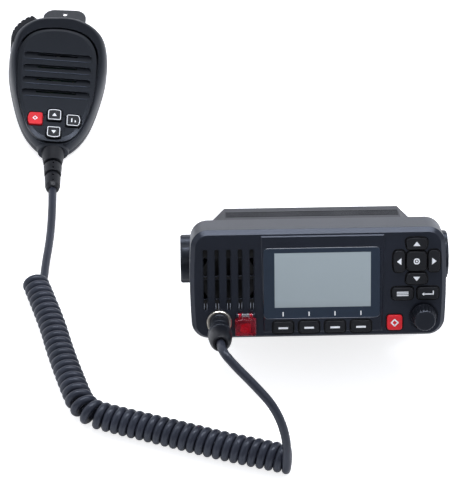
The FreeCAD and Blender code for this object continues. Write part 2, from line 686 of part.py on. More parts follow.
def build_alarm_key():
    """Guarded key: a red key under a clear flip cover on a pin with a small return spring."""
    flange_top = -SHELL_WALL - KEY_SHAKE
    cap = pad(ALARM_KEY_W, ALARM_KEY_H, 0.8, flange_top, KEY_PROUD, COVER_X, ALARM_KEY_Y, soften=0.4)
    flange = pad(ALARM_KEY_W + 1.4, ALARM_KEY_H + 1.4, 0.8, flange_top - KEY_FLANGE_T, flange_top,
                 COVER_X, ALARM_KEY_Y)
    stem = cylinder(KEY_STEM_R, KEY_STEM_END, flange_top - KEY_FLANGE_T, COVER_X, ALARM_KEY_Y)
    PARTS["distress_key"] = place_radio(joined([cap, flange, stem]))
    lift = 0.25
    outer = cover_outline(0, lift, COVER_PROUD)
    outer = outer.makeFillet(0.8, edges_at_z(outer, COVER_PROUD))
    shoulder = HINGE_Y - 2.2
    tab = Part.makeBox(COVER_TAB_W, HINGE_Y - shoulder + 0.9, COVER_WALL,
                       Vector(COVER_X - COVER_TAB_W / 2, shoulder - 0.9, HINGE_Z + HINGE_BARREL_R - COVER_WALL))
    barrel = Part.makeCylinder(HINGE_BARREL_R, COVER_TAB_W, Vector(COVER_X - COVER_TAB_W / 2, HINGE_Y, HINGE_Z),
                               Vector(1, 0, 0))
    hollow = cover_outline(COVER_WALL, -1, COVER_PROUD - COVER_WALL)
    cover = joined([outer, tab, barrel]).cut([
        hollow,
        Part.makeCylinder(HINGE_PIN_R + SHAFT_CLEAR, COVER_TAB_W + 2,
                          Vector(COVER_X - COVER_TAB_W / 2 - 1, HINGE_Y, HINGE_Z), Vector(1, 0, 0)),
        Part.makeBox(SPRING_LENGTH + 0.4, 2 * HINGE_BARREL_R + 2, 4 * HINGE_BARREL_R,
                     Vector(COVER_X - SPRING_LENGTH / 2 - 0.2, HINGE_Y - HINGE_BARREL_R - 0.1,
                            HINGE_Z - 2 * HINGE_BARREL_R))])
    PARTS["distress_cover"] = place_radio(cover)
    spring = Part.makeCylinder(HINGE_BARREL_R - 0.1, SPRING_LENGTH,
                               Vector(COVER_X - SPRING_LENGTH / 2, HINGE_Y, HINGE_Z), Vector(1, 0, 0))
    spring = spring.cut(Part.makeCylinder(HINGE_PIN_R + SHAFT_CLEAR, SPRING_LENGTH + 2,
                                          Vector(COVER_X - SPRING_LENGTH / 2 - 1, HINGE_Y, HINGE_Z), Vector(1, 0, 0)))
    PARTS["distress_spring"] = place_radio(spring)
    length = COVER_TAB_W + 2 * COVER_GAP + 2 * EAR_T
    PARTS["distress_pin"] = place_radio(Part.makeCylinder(
        HINGE_PIN_R, length, Vector(COVER_X - length / 2, HINGE_Y, HINGE_Z), Vector(1, 0, 0)))


def build_socket_and_plug():
    """Threaded metal socket in the shell, and the plug that is screwed into it."""
    bush = [(SOCKET_R - 0.02, -SOCKET_DEPTH), (SOCKET_R - 0.02, SOCKET_PROUD - 0.4), (SOCKET_R - 0.4, SOCKET_PROUD),
            (SOCKET_BORE_R, SOCKET_PROUD), (SOCKET_BORE_R, -SOCKET_DEPTH + 3)]
    bush += [(0, -SOCKET_DEPTH + 3), (0, -SOCKET_DEPTH)]
    nut = Part.makeCylinder(SOCKET_R + 0.4, 2.4, Vector(SOCKET_X, SOCKET_Y, -SHELL_WALL - 2.4))
    nut = nut.cut(cylinder(SOCKET_R - 0.5, -SHELL_WALL - 4, 0, SOCKET_X, SOCKET_Y))
    PARTS["mic_socket"] = place_radio(joined([turned(bush, SOCKET_X, SOCKET_Y), nut]))
    insert_top = -3.4
    insert = cylinder(SOCKET_BORE_R, -SOCKET_DEPTH + 3, insert_top - 2.6, SOCKET_X, SOCKET_Y)
    pins = []
    for index in range(6):
        angle = 2 * math.pi * index / 6
        pins.append(cylinder(0.5, insert_top - 3.0, insert_top, SOCKET_X + 3.2 * math.cos(angle),
                             SOCKET_Y + 3.2 * math.sin(angle)))
    PARTS["socket_insert"] = place_radio(joined([insert] + pins))
    core_r = 4.9
    ring = turned([(core_r + SHAFT_CLEAR, -1.5), (RING_R, -1.5), (RING_R, 4.5), (RING_R - 0.5, 5.0), (RING_R - 0.5, 6.2),
                   (RING_R + 0.2, 6.8), (RING_R + 0.2, RING_END - 0.8), (RING_R - 0.5, RING_END),
                   (core_r + SHAFT_CLEAR, RING_END)], SOCKET_X, SOCKET_Y)
    PARTS["plug_ring"] = place_radio(ring)
    steps = [(0, insert_top + 0.3), (core_r, insert_top + 0.3), (core_r, RING_END + 0.2), (RING_R - 0.3, RING_END + 0.2)]
    rib_count = 4
    rib_pitch = (PLUG_END - RING_END - 2.4) / rib_count
    for index in range(rib_count):
        z = RING_END + 0.8 + index * rib_pitch
        radius = RING_R + (PLUG_R - RING_R) * (index + 1) / rib_count
        steps += [(radius, z), (radius, z + rib_pitch * 0.7), (radius - 0.35, z + rib_pitch * 0.8)]
    steps += [(PLUG_R, PLUG_END - 1.4), (PLUG_R - 0.3, PLUG_END), (0, PLUG_END)]
    PARTS["plug_body"] = place_radio(turned(steps, SOCKET_X, SOCKET_Y))
    PARTS["plug_boot"] = place_radio(plug_boot())


def plug_boot():
    """Soft boot: a dome that falls to its open mouth, radius = tip + swell * cos(angle) ^ 1.2."""
    swell = PLUG_R - 0.3 - BOOT_TIP_R
    dome = []
    for index in range(8):
        angle = math.pi / 2 * index / 7
        dome.append((BOOT_TIP_R + swell * math.cos(angle) ** 1.2, PLUG_END + (BOOT_END - PLUG_END) * math.sin(angle)))
    floor = BOOT_END - BOOT_MOUTH_DEPTH
    back = [(BOOT_MOUTH_R, BOOT_END), (BOOT_MOUTH_R, floor), (0, floor), (0, PLUG_END)]
    return turned_curve(dome, back, SOCKET_X, SOCKET_Y)


# ---------------------------------------------------------------- radio: chassis
def chassis_wire(inset, z):
    """Chassis section: wide 45 degree shoulders above, small chamfers below."""
    half, top, bottom = CHASSIS_W / 2 - inset, CHASSIS_TOP - inset, CHASSIS_BOTTOM + inset
    shoulder = CHASSIS_CHAMFER - inset * (2 - math.sqrt(2))
    foot = CHASSIS_FOOT - inset * (2 - math.sqrt(2))
    corners = [(half - shoulder, top), (half, top - shoulder), (half, bottom + foot), (half - foot, bottom)]
    points = [Vector(x, y, z) for x, y in corners]
    points += [Vector(-x, y, z) for x, y in reversed(corners)]
    return Part.makePolygon(points + [points[0]])


def chassis_block(inset, z0, z1):
    return Part.Face(chassis_wire(inset, z0)).extrude(Vector(0, 0, z1 - z0))


def top_field(near, far):
    """A sunk field across the chassis top that keeps its fine cross ribs."""
    cut = Part.makeBox(FIELD_W, FIELD_SINK + 1, far - near, Vector(-FIELD_W / 2, CHASSIS_TOP - FIELD_SINK, -far))
    ribs = []
    count = int((far - near - RIB_PITCH) / RIB_PITCH)
    start = -(near + far) / 2 - (count - 1) * RIB_PITCH / 2 - RIB_T / 2
    for index in range(count):
        ribs.append(Part.makeBox(FIELD_W + 2, FIELD_SINK + 2, RIB_T,
                                 Vector(-FIELD_W / 2 - 1, CHASSIS_TOP - FIELD_SINK - 1, start + index * RIB_PITCH)))
    return cut.cut(ribs)


def rear_fins():
    """Upright cooling fins on the rear wall, left out round the aerial socket and the cable glands."""
    fins = []
    clear = [(AERIAL_X, AERIAL_PAD_R + 1.0)] + [(x, GLAND_R + 3.0) for x in GLAND_X]
    count = int((CHASSIS_W - 2 * CHASSIS_CHAMFER) / FIN_PITCH)
    for index in range(count):
        x = (index - (count - 1) / 2) * FIN_PITCH
        if any(abs(x - middle) < reach for middle, reach in clear):
            continue
        low, high = CHASSIS_BOTTOM + FIN_END, CHASSIS_TOP - FIN_END
        foot, head = FIN_TAPER
        profile = Part.makePolygon([Vector(x - FIN_T / 2, low, -CHASSIS_BACK + 0.5),
                                    Vector(x - FIN_T / 2, high, -CHASSIS_BACK + 0.5),
                                    Vector(x - FIN_T / 2, high - head, -CHASSIS_BACK - FIN_H),
                                    Vector(x - FIN_T / 2, low + foot, -CHASSIS_BACK - FIN_H),
                                    Vector(x - FIN_T / 2, low, -CHASSIS_BACK + 0.5)])
        fins.append(Part.Face(profile).extrude(Vector(FIN_T, 0, 0)))
    return fins


def build_chassis():
    """Die-cast chassis: flange, box with sunk ribbed fields, side bosses for the knobs, rear fins."""
    flange_back = -SHELL_D + 1.0
    flange_front = flange_back + FLANGE_T
    flange = shell_block(SHELL_WALL + FLANGE_CLEAR, flange_back, flange_front)
    box = chassis_block(0, -CHASSIS_BACK, flange_back + 0.5)
    body = joined([flange, box] + rear_fins() + [
        cylinder(AERIAL_PAD_R, -CHASSIS_BACK - 2.0, -CHASSIS_BACK + 1, AERIAL_X, AERIAL_Y)])
    cavity = chassis_block(CHASSIS_WALL, -CHASSIS_BACK + CHASSIS_WALL, flange_front + 1)
    cuts = [cavity, top_field(FIELD_Z0, FIELD_Z1), top_field(FIELD2_Z0, FIELD2_Z1)]
    for side in (-1, 1):
        for y in (-FLANGE_SCREW_Y, FLANGE_SCREW_Y):
            cuts.append(cylinder(SCREW_R + 0.15, flange_back - 1, flange_front + 1, side * FLANGE_SCREW_X, y))
    for x in GLAND_X:
        cuts.append(cylinder(GLAND_R - 0.8, -CHASSIS_BACK - 1, -CHASSIS_BACK + CHASSIS_WALL + 1, x, GLAND_Y))
    cuts.append(cylinder(AERIAL_R - 2.0, -CHASSIS_BACK - 3, -CHASSIS_BACK + CHASSIS_WALL + 1, AERIAL_X, AERIAL_Y))
    body = body.cut(cuts)
    bosses = []
    holes = []
    for side in (-1, 1):
        inner = CHASSIS_W / 2 - CHASSIS_WALL
        outwards = Vector(side, 0, 0)
        start = Vector(side * (inner - BOSS_REACH), PIVOT_UP, -PIVOT_BACK)
        bosses.append(Part.makeCylinder(BOSS_R, BOSS_REACH + 0.5, start, outwards))
        hole_length = BOSS_REACH + CHASSIS_WALL + 5.0
        holes.append(Part.makeCylinder(KNOB_SCREW_R + SHAFT_CLEAR, hole_length, start - outwards, outwards))
    for x in (-POST_X, POST_X):
        for z in POST_Z:
            foot = Vector(x, CHASSIS_BOTTOM + CHASSIS_WALL - 0.5, z)
            bosses.append(Part.makeCylinder(POST_R, POST_H + 0.5, foot, Vector(0, 1, 0)))
    PARTS["rear_chassis"] = place_radio(joined([body] + bosses).cut(holes))
    ledge = shell_block(SHELL_WALL + FLANGE_CLEAR, flange_front, flange_front + GASKET_T)
    inner = shell_block(SHELL_WALL + GASKET_LEDGE, flange_front - 1, flange_front + GASKET_T + 1)
    ring = ledge.cut(inner)
    for side in (-1, 1):
        for y in (-FLANGE_SCREW_Y, FLANGE_SCREW_Y):
            ring = ring.cut(cylinder(SCREW_R + 0.6, flange_front - 1, flange_front + GASKET_T + 1,
                                     side * FLANGE_SCREW_X, y))
    PARTS["front_gasket"] = place_radio(ring)
    screws = []
    for side in (-1, 1):
        for y in (-FLANGE_SCREW_Y, FLANGE_SCREW_Y):
            x = side * FLANGE_SCREW_X
            screws.append(turned([(0, flange_back - 1.8), (SCREW_HEAD_R - 0.5, flange_back - 1.8),
                                  (SCREW_HEAD_R, flange_back - 1.2), (SCREW_HEAD_R, flange_back),
                                  (SCREW_R - 0.02, flange_back), (SCREW_R - 0.02, -16.0), (0, -16.0)], x, y))
    PARTS["chassis_screws"] = place_radio(Part.makeCompound(screws))
    floor_y = CHASSIS_BOTTOM + CHASSIS_WALL + POST_H
    board = Part.makeBox(2 * CIRCUIT_HALF, BOARD_T, CIRCUIT_DEPTH, Vector(-CIRCUIT_HALF, floor_y, -CIRCUIT_BACK))
    PARTS["main_board"] = place_radio(board)
    can = Part.makeBox(CAN_W, CAN_H, CAN_DEPTH, Vector(CAN_X, floor_y + BOARD_T, -CAN_BACK))
    can_top = floor_y + BOARD_T + CAN_H
    can = can.makeFillet(CAN_CORNER, [edge for edge in can.Edges if edge.BoundBox.YMin > can_top - 0.1])
    PARTS["shield_can"] = place_radio(can)


def build_rear_fittings():
    """Aerial socket with its square plate, and rubber glands where the leads leave."""
    back = -CHASSIS_BACK - 2.0
    plate = pad(AERIAL_PLATE, AERIAL_PLATE, 2.0, back - AERIAL_PLATE_T, back, AERIAL_X, AERIAL_Y)
    barrel = cylinder(AERIAL_R, back - AERIAL_PLATE_T - AERIAL_LENGTH, back - AERIAL_PLATE_T + 0.5, AERIAL_X, AERIAL_Y)
    bore = cylinder(AERIAL_BORE_R, back - AERIAL_PLATE_T - AERIAL_LENGTH - 1, back - AERIAL_PLATE_T - 1, AERIAL_X, AERIAL_Y)
    PARTS["aerial_socket"] = place_radio(joined([plate, barrel]).cut(bore))
    glands = []
    wall_in = -CHASSIS_BACK + CHASSIS_WALL
    for x in GLAND_X:
        neck = GLAND_R - 0.8
        glands.append(turned([(GLAND_BORE_R, wall_in + 1.6), (GLAND_R + 0.6, wall_in + 1.6), (GLAND_R + 0.6, wall_in),
                              (neck, wall_in), (neck, -CHASSIS_BACK), (GLAND_R + 0.8, -CHASSIS_BACK),
                              (GLAND_R + 0.8, -CHASSIS_BACK - 1.6), (GLAND_BORE_R + 1.2, -CHASSIS_BACK - GLAND_OUT),
                              (GLAND_BORE_R, -CHASSIS_BACK - GLAND_OUT)], x, GLAND_Y))
    PARTS["cable_glands"] = place_radio(Part.makeCompound(glands))


# ---------------------------------------------------------------- bracket, washers and clamp knobs
def arm_inner():
    """Half the distance between the bracket's arms."""
    return CHASSIS_W / 2 + WASHER_T + WASHER_GAP


def build_bracket():
    """U bracket bent from one strip; each arm narrows from the base to a round head at the pivot."""
    inner = arm_inner()
    outer = inner + ARM_T
    top = PIVOT_HEIGHT + ARM_HEAD_R + 2.0
    strip = Part.makeBox(2 * outer, BASE_DEPTH, top, Vector(-outer, -BASE_DEPTH / 2, 0))
    along_y = [edge for edge in strip.Edges
               if abs(edge.BoundBox.YMax - edge.BoundBox.YMin - BASE_DEPTH) < SLIVER and edge.BoundBox.ZMax < 1]
    strip = strip.makeFillet(BEND_R, along_y)
    gap = Part.makeBox(2 * inner, BASE_DEPTH + 2, top, Vector(-inner, -BASE_DEPTH / 2 - 1, BASE_T))
    bend = [edge for edge in gap.Edges
            if abs(edge.BoundBox.YMax - edge.BoundBox.YMin - BASE_DEPTH - 2) < SLIVER and edge.BoundBox.ZMax < BASE_T + 1]
    strip = strip.cut(gap.makeFillet(BEND_R - ARM_T, bend))
    pivot = Vector(-outer - 1, -PIVOT_FORWARD, PIVOT_HEIGHT)
    width = 2 * outer + 2
    head = Part.makeCylinder(ARM_HEAD_R, width, pivot, Vector(1, 0, 0))
    front, back = -BASE_DEPTH / 2, BASE_DEPTH / 2
    step = 10.0
    lean = math.radians(18.0)
    rear_touch = Vector(pivot.x, pivot.y + ARM_HEAD_R * math.cos(lean), pivot.z + ARM_HEAD_R * math.sin(lean))
    web = Part.Face(Part.makePolygon([
        Vector(pivot.x, front, 0), Vector(pivot.x, front, step), Vector(pivot.x, pivot.y - ARM_HEAD_R + 0.6, pivot.z - 4),
        pivot, rear_touch, Vector(pivot.x, back, step), Vector(pivot.x, back, 0), Vector(pivot.x, front, 0)]))
    side_profile = head.fuse(web.extrude(Vector(width, 0, 0)))
    bracket = strip.common(side_profile)
    cuts = [Part.makeCylinder(KNOB_SCREW_R + 0.08, width, pivot, Vector(1, 0, 0))]
    for sx in (-1, 1):
        for sy in (-1, 1):
            cuts.append(cylinder(BASE_HOLE_R, -1, BASE_T + 1, sx * BASE_HOLE_DX / 2, sy * BASE_HOLE_DY / 2))
    PARTS["bracket"] = bracket.cut(cuts).removeSplitter()


def knob_shape():
    """Clamp knob along +Z from its hub: a lobed grip with a shallow dish, bored for its screw."""
    grip = cylinder(KNOB_R, KNOB_HUB_T, KNOB_HUB_T + KNOB_T)
    grip = grip.makeFillet(1.6, edges_at_z(grip, KNOB_HUB_T + KNOB_T))
    scoops = []
    for index in range(KNOB_LOBES):
        angle = 2 * math.pi * index / KNOB_LOBES
        reach = KNOB_R + KNOB_SCOOP_R - KNOB_SCOOP_BITE
        scoops.append(cylinder(KNOB_SCOOP_R, KNOB_HUB_T - 1, KNOB_HUB_T + KNOB_T + 1, reach * math.cos(angle),
                               reach * math.sin(angle)))
    dish = cylinder(8.0, KNOB_HUB_T + KNOB_T - 1.0, KNOB_HUB_T + KNOB_T + 1)
    body = joined([grip.cut(scoops + [dish]), cylinder(KNOB_HUB_R, 0, KNOB_HUB_T + 0.5)])
    return body.cut(cylinder(KNOB_SCREW_R, -1, KNOB_HUB_T + 6.0))


def build_knobs():
    start = arm_inner() + ARM_T + KNOB_GAP
    grip = knob_shape()
    reach_in = CHASSIS_W / 2 - CHASSIS_WALL - 4.0
    screw = cylinder(KNOB_SCREW_R, reach_in - start, KNOB_HUB_T + 6.0)
    washer = cylinder(WASHER_R, 0, WASHER_T).cut(cylinder(KNOB_SCREW_R + 0.3, -1, WASHER_T + 1))
    washers = []
    for side, name in ((-1, "left"), (1, "right")):
        turn = Rotation(Vector(0, 1, 0), side * 90.0)
        knob_place = Placement(Vector(side * start, PIVOT_UP, -PIVOT_BACK), turn)
        washer_place = Placement(Vector(side * CHASSIS_W / 2, PIVOT_UP, -PIVOT_BACK), turn)
        for label, shape in (("knob_" + name, grip), ("knob_screw_" + name, screw)):
            PARTS[label] = place_radio(moved(shape, knob_place))
        washers.append(moved(washer, washer_place))
    PARTS["arm_washers"] = place_radio(Part.makeCompound(washers))


# ---------------------------------------------------------------- microphone
MIC_HALF_OUTLINE = [(0.0, 118.6), (17.4, 116.0), (25.2, 111.0), (30.7, 103.8), (33.5, 93.5), (34.3, 81.0),
                    (31.6, 59.0), (26.9, 38.5), (20.4, 21.2), (16.2, 14.6), (11.6, 9.4), (8.0, 7.2), (3.0, 6.6)]
PANEL_HALF_OUTLINE = [(0.0, 104.6), (9.6, 103.6), (19.3, 99.0), (25.6, 89.0), (27.4, 74.0), (26.8, 57.0),
                      (24.8, 41.0), (20.6, 26.5), (15.6, 16.2), (8.4, 10.2), (2.0, 9.0)]


def mirrored(half):
    """Both sides of a half outline; its first point is on the centre line."""
    return half + [(-x, y) for x, y in reversed(half[1:])]


def mic_loop(inset, z_chin, z_top):
    """The microphone's outline drawn in by inset, on a plane that climbs from the chin to the top."""
    middle = MIC_L / 2
    scale_x = (MIC_W / 2 - inset) / (MIC_W / 2)
    scale_y = (middle - inset) / middle
    points = []
    for x, y in mirrored(MIC_HALF_OUTLINE):
        new_y = middle + (y - middle) * scale_y
        points.append(Vector(x * scale_x, new_y, z_chin + (z_top - z_chin) * new_y / MIC_L))
    return smooth_loop(points)


def panel_loop(inset, lift):
    """The face panel's outline drawn in by inset, parallel to the face and lifted from it."""
    middle = (PANEL_HALF_OUTLINE[0][1] + PANEL_HALF_OUTLINE[-1][1]) / 2
    points = []
    for x, y in mirrored(PANEL_HALF_OUTLINE):
        new_x = x * (1 - inset / PANEL_HALF_OUTLINE[4][0])
        new_y = middle + (y - middle) * (1 - inset / (PANEL_HALF_OUTLINE[0][1] - middle))
        points.append(Vector(MIC_FACE_X + new_x, new_y, face_z(new_y) + lift))
    return smooth_loop(points)


def face_z(y):
    return MIC_FACE_CHIN + (MIC_FACE_TOP - MIC_FACE_CHIN) * y / MIC_L


def face_angle():
    return math.degrees(math.atan2(MIC_FACE_TOP - MIC_FACE_CHIN, MIC_L))


def on_face(shape, x, y):
    """Moves a shape drawn on the XY plane to a spot on the microphone's sloping face."""
    place = Placement(Vector(MIC_FACE_X + x, y, face_z(y)), Rotation(Vector(1, 0, 0), face_angle()))
    return moved(shape, place)


def mic_lower(inset, past=0.0):
    """Back half: rounded back edge up to the joint, carried past it for a hollow."""
    sections = [mic_loop(5.5 + inset, inset, inset), mic_loop(1.6 + inset, 1.6 + inset, 3.0 + inset),
                mic_loop(inset, MIC_SPLIT_CHIN + past, MIC_SPLIT_TOP + past)]
    return Part.makeLoft(sections, True, False)


def mic_upper(inset, past=0.0):
    """Front half: joint, full sides, a rounded rim that falls away, flat middle."""
    sections = [mic_loop(inset, MIC_SPLIT_CHIN - past, MIC_SPLIT_TOP - past),
                mic_loop(0.5 + inset, MIC_FACE_CHIN - 3.2 - inset, MIC_FACE_TOP - 6.0 - inset),
                mic_loop(2.4 + inset, MIC_FACE_CHIN - 0.9 - inset, MIC_FACE_TOP - 1.8 - inset),
                mic_loop(MIC_RIM + inset, MIC_FACE_CHIN - inset, MIC_FACE_TOP - inset)]
    return Part.makeLoft(sections, True, False)


def talk_direction():
    angle = math.radians(TALK_TRAVEL_ANGLE)
    return Vector(math.cos(angle), math.sin(angle), 0)


def talk_block(grow, z0, z1):
    """The talk bar's block: curved outer rim, ends parallel to its travel into the shell."""
    first, middle, last = [Vector(x, y, z0) for x, y in TALK_OUTER]
    inward = talk_direction() * TALK_SINK
    rim = Part.Arc(first, middle, last).toShape()
    inner = Part.Arc(last + inward, middle + inward, first + inward).toShape()
    outline = Part.Wire([rim, Part.LineSegment(last, last + inward).toShape(), inner,
                         Part.LineSegment(first + inward, first).toShape()])
    if grow > 0:
        outline = outline.makeOffset2D(grow)
    return Part.Face(outline).extrude(Vector(0, 0, z1 - z0))


def talk_opening():
    """The room that the talk bar and its travel need in both shells."""
    rest = talk_block(TALK_GAP, TALK_LOW - TALK_GAP, TALK_HIGH + TALK_GAP)
    pressed = moved(rest, Placement(talk_direction() * TALK_TRAVEL, Rotation()))
    return joined([rest, pressed])


def ellipse_wire(half_width, half_height, z):
    """An ellipse about the Z line, its long axis along X."""
    curve = Part.Ellipse(Vector(0, 0, z), half_width, half_height)
    return Part.Wire([curve.toShape()])


def chin_skirt():
    """The oval collar that the chin forms round the strain relief, cut into its front and rear parts."""
    collar = Part.makeLoft([ellipse_wire(SKIRT_ROOT[0], SKIRT_ROOT[1], -SKIRT_IN),
                            ellipse_wire(SKIRT_END[0], SKIRT_END[1], -SKIRT_GAP)], True, True)
    collar = moved(collar, relief_placement())
    slope = math.degrees(math.atan2(MIC_SPLIT_TOP - MIC_SPLIT_CHIN, MIC_L))
    above = Part.makeBox(MIC_W, MIC_L, MIC_FACE_TOP, Vector(-MIC_W / 2, -MIC_L / 2, 0))
    above = moved(above, Placement(Vector(0, 0, MIC_SPLIT_CHIN), Rotation(Vector(1, 0, 0), slope)))
    return collar.common(above), collar.cut(above)


def mic_key_table():
    side = (MIC_SIDE_KEY_W, MIC_SIDE_KEY_H)
    return [("mic_key_sixteen", -MIC_KEY_X, MIC_KEY_SIDE_Y, side[0], side[1], (0, 0, 1.6, 0)),
            ("mic_key_power", MIC_KEY_X, MIC_KEY_SIDE_Y, side[0], side[1], (0, 0, 0, 1.6)),
            ("mic_key_up", 0, MIC_KEY_UP_Y, MIC_KEY_W, MIC_KEY_H, (1.1, 0, 0, 0)),
            ("mic_key_down", 0, MIC_KEY_DOWN_Y, MIC_KEY_W, MIC_KEY_H, (0, 1.1, 0, 0))]


def build_mic_shells():
    front_skirt, rear_skirt = chin_skirt()
    upper = joined([mic_upper(0), front_skirt]).cut(mic_upper(MIC_WALL, 2.0))
    pocket = Part.makeLoft([panel_loop(-MIC_PANEL_GAP, -MIC_PANEL_T), panel_loop(-MIC_PANEL_GAP, 4.0)], True, True)
    inside = Part.makeLoft([panel_loop(MIC_LEDGE, -9.0), panel_loop(MIC_LEDGE, 4.0)], True, True)
    opening = talk_opening()
    exit_hole = moved(cylinder(RELIEF_NECK_R + 0.02, -SKIRT_IN - 4.0, 5.0), relief_placement())
    PARTS["mic_front_shell"] = place_mic(upper.cut([pocket, inside, opening, exit_hole]))
    lower = joined([mic_lower(0), rear_skirt]).cut(mic_lower(MIC_WALL, 2.0))
    cuts = [exit_hole, opening]
    posts = []
    for x, y in mic_screw_spots():
        posts.append(cylinder(MIC_POST_R + 0.4, 1.0, MIC_POST_JOINT, x, y))
        cuts.append(cylinder(MIC_SCREW_R + 0.05, -1, MIC_POST_JOINT + 1, x, y))
        cuts.append(cylinder(MIC_SCREW_HEAD_R + 0.1, -1, 1.25, x, y))
    posts.append(cylinder(4.0, 1.0, 6.0, 0, STUD_Y))
    cuts.append(cylinder(STUD_SCREW_R, -1, 8, 0, STUD_Y))
    PARTS["mic_rear_shell"] = place_mic(joined([lower] + posts).cut(cuts))


def mic_screw_spots():
    return [(side * x, y) for side in (-1, 1) for x, y in ((MIC_POST_X0, MIC_POST_Y0), (MIC_POST_X1, MIC_POST_Y1))]


def build_mic_face():
    """Raised face panel with a bevelled rim, four louvres that hide sound slots, and key openings."""
    flat = MIC_PANEL_PROUD
    plate = Part.makeLoft([panel_loop(0, -MIC_PANEL_T), panel_loop(0, flat - 0.9), panel_loop(MIC_PANEL_BEVEL, flat)],
                          True, True)
    cuts = []
    for index in range(LOUVRE_COUNT):
        y = LOUVRE_TOP_Y - index * LOUVRE_PITCH
        top, bottom = LOUVRE_H / 2, -LOUVRE_H / 2
        wedge = Part.Face(Part.makePolygon([Vector(-40, top, flat + 1), Vector(-40, top, flat - LOUVRE_SINK),
                                            Vector(-40, bottom, flat - 0.1), Vector(-40, bottom, flat + 1),
                                            Vector(-40, top, flat + 1)])).extrude(Vector(80, 0, 0))
        wedge = wedge.common(pad(LOUVRE_W, LOUVRE_H, 2.4, flat - LOUVRE_SINK - 1, flat + 2))
        slot = pad(LOUVRE_SLOT_W, LOUVRE_SLOT_H, 0.5, -MIC_PANEL_T - 2, flat + 1, 0, top - 1.3)
        cuts.append(on_face(wedge, 0, y))
        cuts.append(on_face(slot, 0, y))
    for name, x, y, width, height, rise in mic_key_table():
        cuts.append(on_face(pad(width + 0.9, height + 0.9, 1.9, -MIC_PANEL_T - 2, 3, rise=rise), x, y))
        pocket = pad(width + 2 * MIC_POCKET_REACH, height + 2 * MIC_POCKET_REACH, 2.4, flat - MIC_POCKET_SINK, 3, rise=rise)
        cuts.append(on_face(pocket, x, y))
    cuts.append(on_face(pad(MIC_POCKET_BRIDGE_W, MIC_POCKET_BRIDGE_H, 2.4, flat - MIC_POCKET_SINK, 3), 0, MIC_POCKET_Y))
    posts = []
    for x, y in mic_screw_spots():
        posts.append(cylinder(MIC_POST_R, MIC_POST_JOINT, face_z(y) - 1.0, x, y))
        cuts.append(cylinder(MIC_SCREW_R + 0.02, MIC_POST_JOINT - 1, MIC_POST_JOINT + 6.0, x, y))
    PARTS["mic_face_panel"] = place_mic(joined([plate] + posts).cut(cuts))
    for name, x, y, width, height, rise in mic_key_table():
        cap = pad(width, height, 1.6, -MIC_PANEL_T - KEY_SHAKE, flat + MIC_KEY_PROUD, rise=rise, soften=0.5)
        flange = pad(width + 1.6, height + 1.6, 1.6, -MIC_PANEL_T - KEY_SHAKE - 0.8, -MIC_PANEL_T - KEY_SHAKE)
        PARTS[name] = place_mic(on_face(joined([cap, flange]), x, y))


def build_mic_inside():
    """Circuit board, microphone capsule and the screws that hold the two halves."""
    drop = -MIC_PANEL_T - KEY_SHAKE - 0.8 - MIC_KEY_TRAVEL - 0.3
    width = 2 * (MIC_POST_X0 - abs(MIC_FACE_X) - MIC_POST_R - MIC_BOARD_CLEAR)
    board = pad(width, MIC_BOARD_H, 3.0, drop - 1.2, drop)
    PARTS["mic_board"] = place_mic(on_face(board, 0, MIC_BOARD_Y))
    capsule = cylinder(4.8, drop, -MIC_PANEL_T - 0.2)
    PARTS["mic_capsule"] = place_mic(on_face(capsule, 0, 66.0))
    head = MIC_SCREW_HEAD_R
    tip = MIC_POST_JOINT + 4.5
    screws = [turned([(0, 0.1), (head, 0.1), (head, 1.25), (MIC_SCREW_R, 1.25), (MIC_SCREW_R, tip), (0, tip)], x, y)
              for x, y in mic_screw_spots()]
    PARTS["mic_screws"] = place_mic(Part.makeCompound(screws))
    stud = turned([(0, -STUD_NECK - STUD_HEAD_T), (STUD_HEAD_R - 0.8, -STUD_NECK - STUD_HEAD_T),
                   (STUD_HEAD_R, -STUD_NECK - STUD_HEAD_T + 0.8), (STUD_HEAD_R, -STUD_NECK),
                   (STUD_NECK_R, -STUD_NECK), (STUD_NECK_R, -1.2), (STUD_NECK_R + 2.5, 0),
                   (STUD_SCREW_R - 0.02, 0), (STUD_SCREW_R - 0.02, 5.0), (0, 5.0)], 0, STUD_Y)
    PARTS["hang_stud"] = place_mic(stud)


def build_talk_bar():
    """Push-to-talk bar on the shoulder, its rim grooved for the thumb."""
    bar = talk_block(0, TALK_LOW, TALK_HIGH)
    first, middle, last = [Vector(x, y, 0) for x, y in TALK_OUTER]
    rim = Part.Arc(first, middle, last)
    grooves = []
    for index in range(TALK_TEETH):
        share = (index + 0.5) / TALK_TEETH
        spot = rim.value(rim.FirstParameter + (rim.LastParameter - rim.FirstParameter) * share)
        grooves.append(cylinder(0.8, TALK_LOW - 1, TALK_HIGH + 1, spot.x, spot.y))
    PARTS["talk_bar"] = place_mic(bar.cut(grooves))


def relief_placement():
    """Carries +Z to the way the cord leaves the microphone's chin."""
    turn = Rotation(Vector(0, 0, 1), RELIEF_SWING).multiply(Rotation(Vector(1, 0, 0), 90.0 - RELIEF_LIFT))
    return Placement(Vector(RELIEF_X, RELIEF_ROOT, RELIEF_Z), turn)


